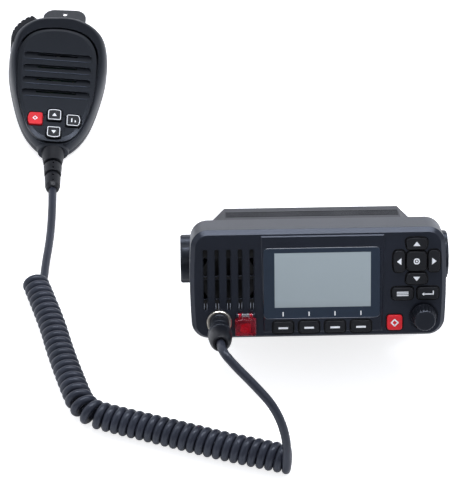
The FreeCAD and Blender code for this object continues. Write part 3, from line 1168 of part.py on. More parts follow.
def build_relief():
    """Segmented strain relief: a root cone, then two dimpled rings on a thin core down to the cord."""
    steps = [(0, -RELIEF_NECK), (RELIEF_NECK_R, -RELIEF_NECK), (RELIEF_NECK_R, 0)]
    for start, end, wide, narrow in RELIEF_RINGS:
        if start > 0:
            steps.append((RELIEF_CORE, start))
        steps += [(wide - RELIEF_EDGE, start), (wide, start + RELIEF_EDGE), (narrow, end - RELIEF_EDGE)]
        if end < RELIEF_RINGS[-1][1]:
            steps += [(narrow - RELIEF_EDGE, end), (RELIEF_CORE, end)]
    steps += [((narrow + RELIEF_MOUTH_R) / 2, RELIEF_LENGTH - RELIEF_EDGE), (RELIEF_MOUTH_R, RELIEF_LENGTH)]
    relief = turned(steps + [(0, RELIEF_LENGTH)])
    dimples = []
    for start, end, wide, narrow in RELIEF_RINGS[1:]:
        for side in (-1, 1):
            for share in (-0.5, 0.5):
                spot = Vector(0, side * (narrow - RELIEF_DIMPLE_SINK), (start + end) / 2 + share * RELIEF_DIMPLE_PITCH)
                dimples.append(Part.makeCylinder(RELIEF_DIMPLE_R, wide, spot, Vector(0, side, 0)))
    PARTS["mic_strain_relief"] = place_mic(moved(relief.cut(dimples), relief_placement()))


def build_hanger():
    """Pressed hanger: a plate with three screw holes and a raised U keeper that takes the stud's neck."""
    far = -hanger_back()
    near = far + HANGER_T
    low_edge = hanger_bottom()
    length = HANGER_TOP - low_edge
    middle = (HANGER_TOP + low_edge) / 2
    plate = Part.Face(quad_wire(HANGER_W, length, 0, middle, far)).extrude(Vector(0, 0, HANGER_T))
    upper = [edge for edge in edges_along_z(plate) if edge.BoundBox.YMin > middle]
    plate = plate.makeFillet(HANGER_CORNER, upper)
    lower = [edge for edge in edges_along_z(plate) if edge.BoundBox.YMax < middle]
    plate = plate.makeFillet(3.0, lower)
    keeper_w = 26.0
    keeper_low = low_edge + 2.0
    keeper_high = STUD_Y + 7.0
    keeper_far = -STUD_NECK + 1.0
    keeper_near = keeper_far + HANGER_KEEPER_T
    keeper_mid = (keeper_low + keeper_high) / 2
    outer = pad(keeper_w, keeper_high - keeper_low, 4.0, near - 0.2, keeper_near, 0, keeper_mid)
    room = Part.makeBox(keeper_w - 2 * HANGER_KEEPER_T, keeper_high - keeper_low, keeper_far - near,
                        Vector(-keeper_w / 2 + HANGER_KEEPER_T, keeper_low + HANGER_KEEPER_T, near))
    neck = STUD_NECK_R + 0.5
    slot = Part.makeBox(2 * neck, keeper_high - STUD_Y + 1, HANGER_KEEPER_T + 2, Vector(-neck, STUD_Y, keeper_far - 1))
    seat = cylinder(neck, keeper_far - 1, keeper_near + 1, 0, STUD_Y)
    body = joined([plate, outer.cut([room, slot, seat])])
    holes = [cylinder(HANGER_HOLE_R, far - 1, near + 1, 0, HANGER_TOP - HANGER_HOLE_IN)]
    holes += [cylinder(HANGER_HOLE_R, far - 1, near + 1, side * 10.0, STUD_Y + 24.0) for side in (-1, 1)]
    PARTS["mic_hanger"] = moved(body.cut(holes), hanger_placement())


# ---------------------------------------------------------------- cord
def rounded_route(points, label):
    """Straight runs joined by tangent arcs; each arc is as large as its two runs allow."""
    edges = []
    at = points[0]
    for index in range(1, len(points) - 1):
        before, corner, after = points[index - 1], points[index], points[index + 1]
        into = (corner - before).normalize()
        out = (after - corner).normalize()
        turn = into.getAngle(out)
        run = min((corner - before).Length, (after - corner).Length)
        cut = 0.45 * run
        radius = cut / math.tan(turn / 2)
        print("%s bend %d: turn %.0f deg, radius %.1f, run %.1f" % (label, index, math.degrees(turn), radius, run))
        enter, leave = corner - into * cut, corner + out * cut
        inward = (out - into).normalize()
        centre_reach = radius / math.cos(turn / 2)
        top = corner + inward * (centre_reach - radius)
        if (enter - at).Length > SLIVER:
            edges.append(Part.LineSegment(at, enter).toShape())
        edges.append(Part.Arc(enter, top, leave).toShape())
        at = leave
    edges.append(Part.LineSegment(at, points[-1]).toShape())
    return Part.Wire(edges)


def tube(points, diameter, label):
    """A round tube along a route, checked against section times length."""
    path = rounded_route(points, label)
    start = path.Edges[0].tangentAt(path.Edges[0].FirstParameter)
    section = Part.Wire([Part.Circle(points[0], start, diameter / 2).toShape()])
    solid = path.makePipeShell([section], True, True)
    expected = math.pi * diameter ** 2 / 4 * path.Length
    print("%s length %.1f volume ratio %.4f valid %s" % (label, path.Length, solid.Volume / expected, solid.isValid()))
    return solid


def build_cord():
    lift = COIL_D / 2 + COIL_LIFT
    coil = [Vector(x, y, lift) for x, y in COIL_POINTS]
    PARTS["coil_cord"] = tube(coil, COIL_D, "coil")
    plug_exit = radio_placement().multVec(Vector(SOCKET_X, SOCKET_Y, BOOT_END - BOOT_MOUTH_DEPTH))
    first = radio_placement().multVec(Vector(SOCKET_X, SOCKET_Y, BOOT_END + LEAD_START))
    lead = [plug_exit, first] + [Vector(*point) for point in PLUG_LEAD_POINTS]
    PARTS["plug_lead"] = tube(lead, CORD_D, "plug lead")
    relief_axis = mic_placement().multiply(relief_placement())
    mic_exit = relief_axis.multVec(Vector(0, 0, RELIEF_LENGTH))
    mic_straight = relief_axis.multVec(Vector(0, 0, RELIEF_LENGTH + MIC_LEAD_STRAIGHT))
    back = (coil[-2] - coil[-1]).normalize()
    lead_start = coil[-1] + back * MIC_LEAD_OVERLAP
    lead = [lead_start] + [Vector(*point) for point in MIC_LEAD_POINTS] + [mic_straight, mic_exit]
    PARTS["mic_lead"] = tube(lead, CORD_D, "mic lead")


def main():
    build_front()
    build_speaker()
    build_dial()
    build_alarm_key()
    build_socket_and_plug()
    build_chassis()
    build_rear_fittings()
    build_bracket()
    build_knobs()
    build_mic_shells()
    build_mic_face()
    build_mic_inside()
    build_talk_bar()
    build_relief()
    build_hanger()
    build_cord()
    os.makedirs("parts", exist_ok=True)
    for name, shape in sorted(PARTS.items()):
        shape.exportStep("parts/%s.step" % name)
        box = shape.BoundBox
        print("%-18s solids %d valid %s volume %8.0f  x %.1f..%.1f y %.1f..%.1f z %.1f..%.1f" % (
            name, len(shape.Solids), shape.isValid(), shape.Volume,
            box.XMin, box.XMax, box.YMin, box.YMax, box.ZMin, box.ZMax))
    print(len(PARTS), "nodes")


main()
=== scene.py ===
"""Finishes, curly cord, printed marks and stage of a fixed-mount marine radio with a fist microphone.

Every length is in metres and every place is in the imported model's own frame: +X to the radio's right,
+Y away from its user, +Z up, with the origin under the middle of the bracket.
"""

import json
import math

import bpy
import numpy as np

from mathutils import Matrix

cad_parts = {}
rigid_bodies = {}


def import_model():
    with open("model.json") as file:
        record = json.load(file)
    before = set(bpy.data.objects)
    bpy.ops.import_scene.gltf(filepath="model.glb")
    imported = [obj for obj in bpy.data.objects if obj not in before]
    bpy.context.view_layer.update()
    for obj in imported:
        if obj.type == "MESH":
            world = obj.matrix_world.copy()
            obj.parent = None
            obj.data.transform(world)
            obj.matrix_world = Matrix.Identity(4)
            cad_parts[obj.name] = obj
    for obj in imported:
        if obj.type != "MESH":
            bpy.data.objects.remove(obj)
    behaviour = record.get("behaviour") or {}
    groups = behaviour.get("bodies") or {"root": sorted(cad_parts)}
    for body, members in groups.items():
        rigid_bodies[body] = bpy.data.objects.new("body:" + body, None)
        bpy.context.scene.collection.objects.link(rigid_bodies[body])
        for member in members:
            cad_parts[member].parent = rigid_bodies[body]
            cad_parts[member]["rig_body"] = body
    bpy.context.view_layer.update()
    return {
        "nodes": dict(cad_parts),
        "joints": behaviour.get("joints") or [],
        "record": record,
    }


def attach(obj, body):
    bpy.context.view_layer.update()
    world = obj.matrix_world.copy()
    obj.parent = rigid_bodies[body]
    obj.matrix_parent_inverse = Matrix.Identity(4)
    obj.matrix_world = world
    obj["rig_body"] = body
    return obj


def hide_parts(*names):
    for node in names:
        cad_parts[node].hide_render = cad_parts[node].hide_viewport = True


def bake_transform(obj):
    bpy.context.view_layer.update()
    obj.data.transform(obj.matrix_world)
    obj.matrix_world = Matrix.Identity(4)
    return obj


bl_info = {
    "name": "Marine radio finishes",
    "version": (1, 0, 0),
    "blender": (4, 5, 0),
    "location": "3D View > Sidebar > Radio",
    "description": "Finishes, curly cord and printed marks of a marine radio with a fist microphone",
    "category": "Object",
}

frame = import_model()
NODES = frame["nodes"]
JOINTS = {joint["name"]: joint for joint in frame["joints"]}
SLOT_OF = {part["node"]: part["material_slot"] for part in frame["record"]["subparts"]}

MM = 0.001
FULL_TURN = 2 * math.pi
UP = np.array([0.0, 0.0, 1.0])
RIGHT = np.array([1.0, 0.0, 0.0])

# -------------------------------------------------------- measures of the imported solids, in millimetres
# They repeat the source's values for what can't be read off a node's mesh.
SOFT_KEYS = ["key_soft_1", "key_soft_2", "key_soft_3", "key_soft_4"]
FRONT_KEYS = SOFT_KEYS + ["key_ok", "key_up", "key_down", "key_left", "key_right", "key_menu", "key_back",
                          "key_sixteen"]
KEY_ROUND = 0.5          # rounding of a key's upper edge
KEY_GAP = 0.3            # between a key and its opening
KEY_PROUD = 1.5          # a key's top over the front
PANEL_PROUD = 0.8        # the centre panel over the front
PAD_UP = 13.4            # middle of the arrow pad, up the front from its middle
FIRST_SLOT = -69.0       # middle of the grille's first slot, across the front
SLOT_PITCH = 7.09
SLOT_COUNT = 5
SLOT_FOOT = -16.2        # lower end of a slot, up the front from its middle
SLOT_SINK = 1.1          # depth of a slot
LOUVRE_WIDTH = 47.0
LOUVRE_HEIGHT = 6.4
LOUVRE_CORNER = 2.4
LOUVRE_PITCH = 10.5
LOUVRE_COUNT = 4
TOP_LOUVRE_UP = 79.6     # middle of the top louvre, from the microphone's chin
MIC_UP_KEY_UP = 29.7     # middle of the microphone's upper arrow key, from its chin
MIC_KEY_PROUD = 0.9      # a microphone key's top over the face panel
MIC_FACE_SLOPE = math.atan2(16.5, 118.6)    # the face's rise over the microphone's length

# -------------------------------------------------------- the cord's way over the table, in millimetres
COIL_ROUTE = [(-20.5, -144.3), (-56.6, -133.4), (-93.0, -119.5), (-124.2, -108.2), (-144.9, -99.8),
              (-152.7, -74.8), (-161.0, -44.9), (-167.0, -17.5), (-178.3, 18.8)]
COIL_HEIGHT = 8.9
PLUG_LEAD_ROUTE = [(-53.6, -129.0, 75.0), (-41.1, -135.4, 63.5), (-29.0, -142.8, 51.5), (-22.2, -148.7, 32.0)]
MIC_LEAD_ROUTE = [(-173.2, 26.0, 2.9), (-172.6, 42.0, 2.9), (-170.1, 68.0, 2.9)]
BOOT_MOUTH_DEPTH = 2.0   # how far the lead reaches into the plug's boot
LEAD_STRAIGHT = 11.5     # straight run out of the boot
RELIEF_STRAIGHT = 20.0   # straight run into the microphone's strain relief
CROWDED = 1.01           # pitch of turns that touch, in cord diameters
AXIS_STEPS = 1500        # points along the coil's axis
BEND_STEPS = 30          # points to each side over which its bend is evened out

# -------------------------------------------------------- printed marks and small pieces, in millimetres
PRINT_CORNER = 0.2       # rounding of a printed corner
SMALL_CORNER = 0.15      # and of a narrow bar's
OK_RING, OK_RING_LINE, OK_DOT = 3.8, 0.75, 1.2
MENU_BARS, MENU_BAR, MENU_PITCH = 3, 0.62, 1.05
RETURN_HEIGHT, RETURN_LINE = 3.0, 0.7
RHOMB, RHOMB_CORNER, RHOMB_LINE = 5.2, 0.4, 0.8
TICK_WIDTH, TICK_CORNER, TICK_UP = 0.7, 0.1, 3.1
MIC_ARROW_WIDTH, MIC_ARROW_HEIGHT = 3.3, 2.6
MIC_RHOMB, MIC_RHOMB_CORNER, MIC_RHOMB_LINE = 3.8, 0.3, 0.6
POWER_BARS = ((0.8, 3.2, -1.2, 0.0), (0.8, 1.6, 1.2, -0.8))      # width, height, x, y
KEY_LIP_TOP, KEY_LIP_FOOT = 0.06, -0.3                           # over the face that the key stands in
# Strips of painted shade in the grille's slots, standing for the shade on the slots' floor.
SLOT_SHADE_SPANS = ((-15.4, -9.2), (3.6, 5.2), (17.2, 22.0))           # from and to, up the front from its middle
SLOT_SHADE_CORNER, SLOT_SHADE_THICK = 0.5, 0.06
RIB_START, RIB_RISE, RIB_SUNK, RIB_RADIUS = 0.5, 0.9, 0.2, 0.25
ROD_SIDES, RIB_SIDES = 10, 8                                     # corners round a rod
EDGE_POINTS, RIB_POINTS, SPRING_POINTS, LEG_POINTS = 400, 24, 120, 12

# ---------------------------------------------------------------- lamps and paper, in metres and watts
# Name, place, point that it looks at, width, height and power.
LAMPS = (("top_strip", (0.05, 0.12, 1.05), (0.05, -0.02, 0.0), 1.3, 0.22, 9.5),
         ("left_softbox", (-1.6, -0.5, 1.1), (-0.05, 0.0, 0.0), 1.2, 1.2, 3.0),
         ("right_softbox", (1.4, -0.8, 1.1), (-0.05, 0.0, 0.0), 1.2, 1.2, 3.0))
FLOOR_HALF = 6.0
PAPER_COLOUR = "#e6e6e6"
PAPER_SEEN, PAPER_MIRRORED = 0.74, 0.14     # how far the paper is lifted to white: to the camera, in mirrors
ROOM_LIGHT, ROOM_MIRRORED = 0.52, 0.18      # the room's strength: as light, in mirrors
SENSOR_WIDTH = 36.0                         # millimetres


# ---------------------------------------------------------------- sizes and colours that a user may change
class CordSettings(bpy.types.PropertyGroup):
    """The curly cord between the plug and the microphone."""
    diameter: bpy.props.FloatProperty(name="Cord diameter", description="Across the jacket",
                                      default=5.4 * MM, unit="LENGTH")
    outer_plug: bpy.props.FloatProperty(name="Coil at the plug", description="Coil's outer diameter there",
                                        default=18.6 * MM, unit="LENGTH")
    outer_mic: bpy.props.FloatProperty(name="Coil at the microphone", default=17.2 * MM, unit="LENGTH",
                                       description="Coil's outer diameter there")
    pitch: bpy.props.FloatProperty(name="Pitch", description="From one turn to the next", default=5.5 * MM,
                                   unit="LENGTH")
    points_per_turn: bpy.props.IntProperty(name="Points per turn", description="Control points in a turn",
                                           default=16)
    sides: bpy.props.IntProperty(name="Sides", description="Corners round the jacket", default=12)


class MarkSettings(bpy.types.PropertyGroup):
    """The white marks printed on the keys and the window."""
    film: bpy.props.FloatProperty(name="Ink film", description="How far the ink stands off its key",
                                  default=0.05 * MM, unit="LENGTH")
    dash_width: bpy.props.FloatProperty(name="Dash width", description="Dash on a soft key",
                                        default=5.9 * MM, unit="LENGTH")
    dash_height: bpy.props.FloatProperty(name="Dash height", description="Dash on a soft key",
                                         default=1.2 * MM, unit="LENGTH")
    dash_drop: bpy.props.FloatProperty(name="Dash drop", default=0.4 * MM, unit="LENGTH",
                                       description="How far a dash sits under the key's middle")
    arrow_width: bpy.props.FloatProperty(name="Arrow width", description="Foot of an arrow on the pad",
                                         default=4.4 * MM, unit="LENGTH")
    arrow_height: bpy.props.FloatProperty(name="Arrow height", description="Height of an arrow on the pad",
                                          default=2.8 * MM, unit="LENGTH")
    symbol_width: bpy.props.FloatProperty(name="Symbol width", description="Bars and arrow on the wide keys",
                                          default=7.2 * MM, unit="LENGTH")
    tick_height: bpy.props.FloatProperty(name="Tick height", description="Tick on the window over a soft key",
                                         default=2.7 * MM, unit="LENGTH")


class ColourSettings(bpy.types.PropertyGroup):
    """Colours as sRGB hex values."""
    shell: bpy.props.StringProperty(name="Housing", description="Moulded front", default="#1c1f27")
    mic_shell: bpy.props.StringProperty(name="Microphone", description="Moulded halves of the microphone",
                                        default="#0d0f13")
    panel: bpy.props.StringProperty(name="Face panel", description="Microphone's face panel",
                                    default="#141619")
    keys: bpy.props.StringProperty(name="Keys", description="Silicone rubber keys", default="#14161b")
    red: bpy.props.StringProperty(name="Red keys", description="Red silicone keys", default="#d3202a")
    cover: bpy.props.StringProperty(name="Cover", description="Tinted flip cover", default="#e8405c")
    screen: bpy.props.StringProperty(name="Screen", description="Unlit liquid crystal panel",
                                     default="#a3aeb1")
    border: bpy.props.StringProperty(name="Window border", description="Ink behind the window",
                                     default="#2b3542")
    cord: bpy.props.StringProperty(name="Cord", description="Cord jacket", default="#2b2e38")
    chassis: bpy.props.StringProperty(name="Chassis", description="Powder coat of the die casting",
                                      default="#2a2b31")
    bracket: bpy.props.StringProperty(name="Bracket", description="Powder coat of the bracket",
                                      default="#17181b")
    knob: bpy.props.StringProperty(name="Knobs", description="Moulded nylon knobs", default="#15171c")


class StageSettings(bpy.types.PropertyGroup):
    """Camera and light."""
    azimuth: bpy.props.FloatProperty(name="Azimuth", description="Camera's turn round the object",
                                     default=math.radians(-1.5), subtype="ANGLE")
    elevation: bpy.props.FloatProperty(name="Elevation", description="Camera's height as an angle",
                                       default=math.radians(41.5), subtype="ANGLE")
    camera_at: bpy.props.FloatVectorProperty(name="Camera", description="Camera's place",
                                             default=(-0.0867, -1.23868, 1.15566), subtype="TRANSLATION")
    lens: bpy.props.FloatProperty(name="Lens", description="Focal length in millimetres", default=196.43)


def settings():
    """The scene's four groups of settings."""
    scene = bpy.context.scene
    return scene.radio_cord, scene.radio_marks, scene.radio_colours, scene.radio_stage


# ---------------------------------------------------------------- directions and places read from the frame
def unit(vectors):
    """Vectors scaled to length one along their last axis."""
    vectors = np.asarray(vectors, float)
    return vectors / np.linalg.norm(vectors, axis=-1, keepdims=True)


def vertices(node):
    """A node's corners as an array."""
    mesh = NODES[node].data
    flat = np.empty(len(mesh.vertices) * 3)
    mesh.vertices.foreach_get("co", flat)
    return flat.reshape(-1, 3)


def radio_axes():
    """Columns: right, up the front, and out of the front, which is the volume knob's axis."""
    out = unit(JOINTS["volume_turn"]["axis"])
    return np.column_stack([RIGHT, np.cross(out, RIGHT), out])


def mic_axes():
    """Columns: right, up the microphone's face, and out of it, against the way its keys travel."""
    out = -unit(JOINTS["mic_key_up_press"]["axis"])
    across = vertices("mic_key_power").mean(0) - vertices("mic_key_sixteen").mean(0)
    right = unit(across - out * across.dot(out))
    return np.column_stack([right, np.cross(out, right), out])


def spans(node, axes):
    """A node's lowest and highest corner measured along a set of axes."""
    along = vertices(node) @ axes
    return along.min(0), along.max(0)


def top_of(node, axes):
    """The middle of a node's outermost face, in the frame."""
    low, high = spans(node, axes)
    return axes @ np.array([(low[0] + high[0]) / 2, (low[1] + high[1]) / 2, high[2]])


def turned_axis(node, towards):
    """Middle and direction of a turned node: the direction in which its corners spread most."""
    points = vertices(node)
    middle = points.mean(0)
    direction = np.linalg.svd(points - middle, full_matrices=False)[2][0]
    return middle, direction * np.sign(direction.dot(towards))


# ---------------------------------------------------------------- meshes
def read_at(places, known, rows):
    """Each column of the rows, read at new places by straight lines between the known ones."""
    return np.column_stack([np.interp(places, known, column) for column in np.transpose(rows)])


def grid_faces(rows, columns):
    """Faces of a grid whose last column joins its first, facing away from the line that the rows follow."""
    row, column = np.meshgrid(np.arange(rows - 1), np.arange(columns), indexing="ij")
    after = (column + 1) % columns
    corners = [row * columns + column, row * columns + after, (row + 1) * columns + after,
               (row + 1) * columns + column]
    return np.stack(corners, -1).reshape(-1, 4)


def closed_grid(rings):
    """Points and faces of a tube of rings, each end closed by one flat face."""
    rows, columns = rings.shape[:2]
    faces = grid_faces(rows, columns).tolist()
    faces.append(list(range(columns - 1, -1, -1)))
    faces.append(list(range((rows - 1) * columns, rows * columns)))
    return rings.reshape(-1, 3), faces


def merged(shapes):
    """Several (points, faces) as one."""
    points, faces, start = [], [], 0
    for shape_points, shape_faces in shapes:
        points.append(shape_points)
        faces += [[corner + start for corner in face] for face in shape_faces]
        start += len(shape_points)
    return np.concatenate(points), faces


def new_piece(name, shape, material, body=None, smooth=True):
    """A mesh object at the origin from (points, faces), riding on a body."""
    points, faces = shape
    mesh = bpy.data.meshes.new(name)
    mesh.from_pydata(np.asarray(points).tolist(), [], faces)
    mesh.materials.append(material)
    mesh.polygons.foreach_set("use_smooth", np.full(len(mesh.polygons), smooth))
    mesh.update()
    piece = bpy.data.objects.new(name, mesh)
    bpy.context.scene.collection.objects.link(piece)
    if smooth:
        mesh.set_sharp_from_angle(angle=math.radians(40))
    if body:
        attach(piece, body)
    return piece


def tube(path, reference, radius, sides):
    """A round tube: at each point of the path, radius times (cos a, sin a) in the plane square to the path.

    The angle a starts at the part of the reference direction that is square to the path."""
    along = unit(np.gradient(path, axis=0))
    first = unit(reference - along * np.sum(reference * along, -1, keepdims=True))
    second = np.cross(along, first)
    angle = np.arange(sides) * FULL_TURN / sides
    offset = (np.cos(angle)[None, :, None] * first[:, None, :]
              + np.sin(angle)[None, :, None] * second[:, None, :])
    return path[:, None, :] + np.asarray(radius).reshape(-1, 1, 1) * offset


def rod(path, reference, radius, sides):
    """A tube with closed ends. Its reference is one direction, or one for each point of the path."""
    return closed_grid(tube(path, np.broadcast_to(reference, path.shape), radius, sides))


def swollen(radius, swell, count):
    """Radii along a rod that is thin at its ends: radius times swell s (1 - s), held from 0.15 to 1."""
    share = np.linspace(0, 1, count)
    return radius * np.clip(swell * share * (1 - share), 0.15, 1.0)


def rounded(corners, radius, steps=4):
    """A flat, counter-clockwise outline with its corners rounded.

    A corner c is cut at a and b, where a circle of the radius touches its two sides, and the curve between
    them is (1 - s)^2 a + 2 s (1 - s) c + s^2 b."""
    corners = np.asarray(corners, float)
    back = unit(np.roll(corners, 1, 0) - corners)
    ahead = unit(np.roll(corners, -1, 0) - corners)
    half = np.arccos(np.clip(np.sum(back * ahead, -1), -1, 1)) / 2
    reach = radius / np.tan(half)
    start, end = corners + back * reach[:, None], corners + ahead * reach[:, None]
    share = np.linspace(0, 1, steps + 1)[None, :, None]
    curve = ((1 - share) ** 2 * start[:, None] + 2 * share * (1 - share) * corners[:, None]
             + share ** 2 * end[:, None])
    return curve.reshape(-1, 2)


def rectangle(width, height, radius, x=0.0, y=0.0):
    """A rounded rectangle's outline about (x, y)."""
    w, h = width / 2, height / 2
    return rounded([(x - w, y - h), (x + w, y - h), (x + w, y + h), (x - w, y + h)], radius)


def laid(outline, origin, axes, height):
    """A flat outline on a face: origin plus x, y and the height along the face's axes."""
    local = np.column_stack([outline, np.full(len(outline), height)])
    return origin + local @ axes.T


def film(outline, origin, axes, thickness):
    """A thin printed area: the outline's face, its back a hair inside the key, and its rim."""
    count = len(outline)
    points = np.concatenate([laid(outline, origin, axes, thickness), laid(outline, origin, axes, -thickness)])
    index = np.arange(count)
    after = (index + 1) % count
    rim = np.stack([index + count, after + count, after, index], -1).tolist()
    return points, [list(range(count)), list(range(2 * count - 1, count - 1, -1))] + rim


def resampled(outline, count):
    """A closed outline walked in equal steps."""
    closed = np.concatenate([outline, outline[:1]])
    length = np.concatenate([[0.0], np.cumsum(np.linalg.norm(np.diff(closed, axis=0), axis=-1))])
    return read_at(np.arange(count) * length[-1] / count, length, closed)


def lower_edge(outline, height):
    """The part of an outline that lies under a height, walked from one side to the other."""
    outline = np.roll(outline, -int(np.argmax(outline[:, 1])), 0)
    return outline[outline[:, 1] < height]


def flat_top(node, axes):
    """The corners of a node's outermost flat face, measured along the axes."""
    local = vertices(node) @ axes
    return local[local[:, 2] > local[:, 2].max() - 0.01 * MM]


def cap_outline(node, axes, count=96):
    """The edge of a node's flat top about its middle, in order: its corners sorted by angle."""
    top = flat_top(node, axes)[:, :2]
    flat = np.unique(np.round(top - (top.min(0) + top.max(0)) / 2, 7), axis=0)
    order = np.argsort(np.arctan2(flat[:, 1], flat[:, 0]))
    return resampled(flat[order], count)


def cap_middle(node, axes):
    """The middle of a node's flat top, in the frame."""
    top = flat_top(node, axes)
    return axes @ np.append((top[:, :2].min(0) + top[:, :2].max(0)) / 2, top[:, 2].max())


def grown(outline, distance):
    """A counter-clockwise outline pushed outwards along its own normals."""
    along = np.roll(outline, -1, 0) - np.roll(outline, 1, 0)
    return outline + distance * unit(np.column_stack([along[:, 1], -along[:, 0]]))


def band(outer, inner, origin, axes, above, below):
    """The closed strip between two outlines, from one height to another over the origin."""
    count = len(outer)
    loops = [laid(outer, origin, axes, above), laid(inner, origin, axes, above),
             laid(inner, origin, axes, below), laid(outer, origin, axes, below)]
    index = np.arange(count)
    after = (index + 1) % count
    faces = []
    for this in range(4):
        following = (this + 1) % 4
        faces += np.stack([index + this * count, after + this * count, after + following * count,
                           index + following * count], -1).tolist()
    return np.concatenate(loops), faces


# ---------------------------------------------------------------- materials
def linear(hex_colour):
    """An sRGB hex value as a linear RGBA colour."""
    channels = [int(hex_colour[index:index + 2], 16) / 255 for index in (1, 3, 5)]
    return [c / 12.92 if c <= 0.04045 else ((c + 0.055) / 1.055) ** 2.4 for c in channels] + [1.0]


def shade(hex_colour, level):
    """A hex value as a linear colour that is paler or darker by a factor."""
    return [channel * level for channel in linear(hex_colour)[:3]] + [1.0]


def add_node(holder, kind, values=None, links=None, stops=(), **options):
    """Adds one node to a material or a world.

    Options are its own settings, values fill its sockets and links feed them. Stops are a colour ramp's
    places with their colours."""
    tree = holder.node_tree
    node = tree.nodes.new(kind)
    for key, value in options.items():
        setattr(node, key, value)
    for socket, value in (values or {}).items():
        node.inputs[socket].default_value = value
    for socket, source in (links or {}).items():
        tree.links.new(source, node.inputs[socket])
    while stops and len(node.color_ramp.elements) < len(stops):
        node.color_ramp.elements.new(0.5)
    for index, (place, colour) in enumerate(stops):
        node.color_ramp.elements[index].position = place
        node.color_ramp.elements[index].color = colour
    return node


def start_material(name, colour, roughness, values=None):
    """A material whose shader has the finish's plain values; returns it and the shader."""
    material = bpy.data.materials.new(name)
    material.use_nodes = True
    shader = material.node_tree.nodes["Principled BSDF"]
    shader.inputs["Base Color"].default_value = linear(colour)
    shader.inputs["Roughness"].default_value = roughness
    for socket, value in (values or {}).items():
        shader.inputs[socket].default_value = value
    return material, shader


def feed(material, shader, tone, gloss, bump):
    """Leads a tone, a gloss and a bump into the shader's colour, roughness and normal."""
    links = material.node_tree.links
    links.new(tone.outputs["Color"], shader.inputs["Base Color"])
    links.new(gloss.outputs["Result"], shader.inputs["Roughness"])
    links.new(bump.outputs["Normal"], shader.inputs["Normal"])
    return material


def grained(name, colour, roughness, values, grain, depth, spread=0.14, edge=0.35 * MM):
    """A moulded or coated surface with its grain: bumps of one size, and slow changes of tone and gloss.

    grain is the size of a bump, depth its height, spread how far tone and gloss wander, and edge the
    radius that a sharp edge of the real piece has. The tone changes over 22 mm, as flow marks do."""
    material, shader = start_material(name, colour, roughness, values)
    place = add_node(material, "ShaderNodeTexCoord")
    fine = add_node(material, "ShaderNodeTexNoise", {"Scale": 1 / grain, "Detail": 2.0, "Roughness": 0.6},
                    {"Vector": place.outputs["Object"]})
    slow = add_node(material, "ShaderNodeTexNoise", {"Scale": 1 / (22 * MM), "Detail": 3.0},
                    {"Vector": place.outputs["Object"]})
    tone = add_node(material, "ShaderNodeValToRGB", links={"Fac": slow.outputs["Fac"]},
                    stops=((0.3, shade(colour, 1 - spread)), (0.7, shade(colour, 1 + spread))))
    gloss = add_node(material, "ShaderNodeMapRange",
                     {"To Min": roughness * (1 - spread), "To Max": roughness * (1 + spread)},
                     {"Value": fine.outputs["Fac"]})
    round_edge = add_node(material, "ShaderNodeBevel", {"Radius": edge}, samples=4)
    bump = add_node(material, "ShaderNodeBump", {"Strength": 1.0, "Distance": depth},
                    {"Height": fine.outputs["Fac"], "Normal": round_edge.outputs["Normal"]})
    return feed(material, shader, tone, gloss, bump)


def moulded_polycarbonate(name, colour, roughness=0.34, grain=0.7 * MM):
    """Injection-moulded PC/ABS from a spark-eroded tool: even satin, a fine grain that breaks highlights.

    The real grain is about 0.1 mm, and is drawn coarser so that it shows."""
    values = {"IOR": 1.52, "Specular Tint": (0.78, 0.85, 1.0, 1.0)}
    return grained(name, colour, roughness, values, grain=grain, depth=0.012 * MM)


def silicone_rubber(name, colour, roughness=0.5):
    """Compression-moulded silicone: soft edges, a dull bloom and hardly any grain."""
    return grained(name, colour, roughness, {"IOR": 1.43}, grain=0.5 * MM, depth=0.004 * MM, edge=0.5 * MM)


def powder_coat(name, colour, roughness=0.5):
    """Baked powder coat on metal: the orange peel of flowed powder, 0.9 mm from peak to peak."""
    return grained(name, colour, roughness, {"IOR": 1.5}, grain=0.9 * MM, depth=0.03 * MM, edge=0.5 * MM)


def plated_metal(name, colour, roughness):
    """Plated or turned metal: bright, with faint tool marks that widen its highlights.

    Real tool marks are some 0.1 mm apart, and are drawn at 0.4 mm so that they show."""
    return grained(name, colour, roughness, {"Metallic": 1.0}, grain=0.4 * MM, depth=0.002 * MM, spread=0.08,
                   edge=0.15 * MM)


def brushed_stainless(name, colour, roughness):
    """Stainless sheet brushed along one direction, which draws its highlights out across the streaks.

    They are 14 mm long, and 0.3 mm wide so that they show; real ones are finer."""
    material, shader = start_material(name, colour, roughness, {"Metallic": 1.0})
    place = add_node(material, "ShaderNodeTexCoord")
    across, along = 1 / (0.3 * MM), 1 / (14 * MM)
    stretch = add_node(material, "ShaderNodeMapping", {"Scale": (across, along, across)},
                       {"Vector": place.outputs["Object"]})
    streak = add_node(material, "ShaderNodeTexNoise", {"Scale": 1.0, "Detail": 4.0},
                      {"Vector": stretch.outputs["Vector"]})
    tone = add_node(material, "ShaderNodeValToRGB", links={"Fac": streak.outputs["Fac"]},
                    stops=((0.0, shade(colour, 0.78)), (1.0, shade(colour, 1.12))))
    gloss = add_node(material, "ShaderNodeMapRange", {"To Min": roughness * 0.8, "To Max": roughness * 1.3},
                     {"Value": streak.outputs["Fac"]})
    bump = add_node(material, "ShaderNodeBump", {"Strength": 1.0, "Distance": 0.004 * MM},
                    {"Height": streak.outputs["Fac"]})
    return feed(material, shader, tone, gloss, bump)


def red_polycarbonate(name, colour):
    """Red-tinted clear polycarbonate: light passes and deepens, the skin is polished."""
    values = {"IOR": 1.52, "Transmission Weight": 0.9}
    return grained(name, colour, 0.1, values, grain=6 * MM, depth=0.01 * MM, spread=0.1, edge=0.3 * MM)


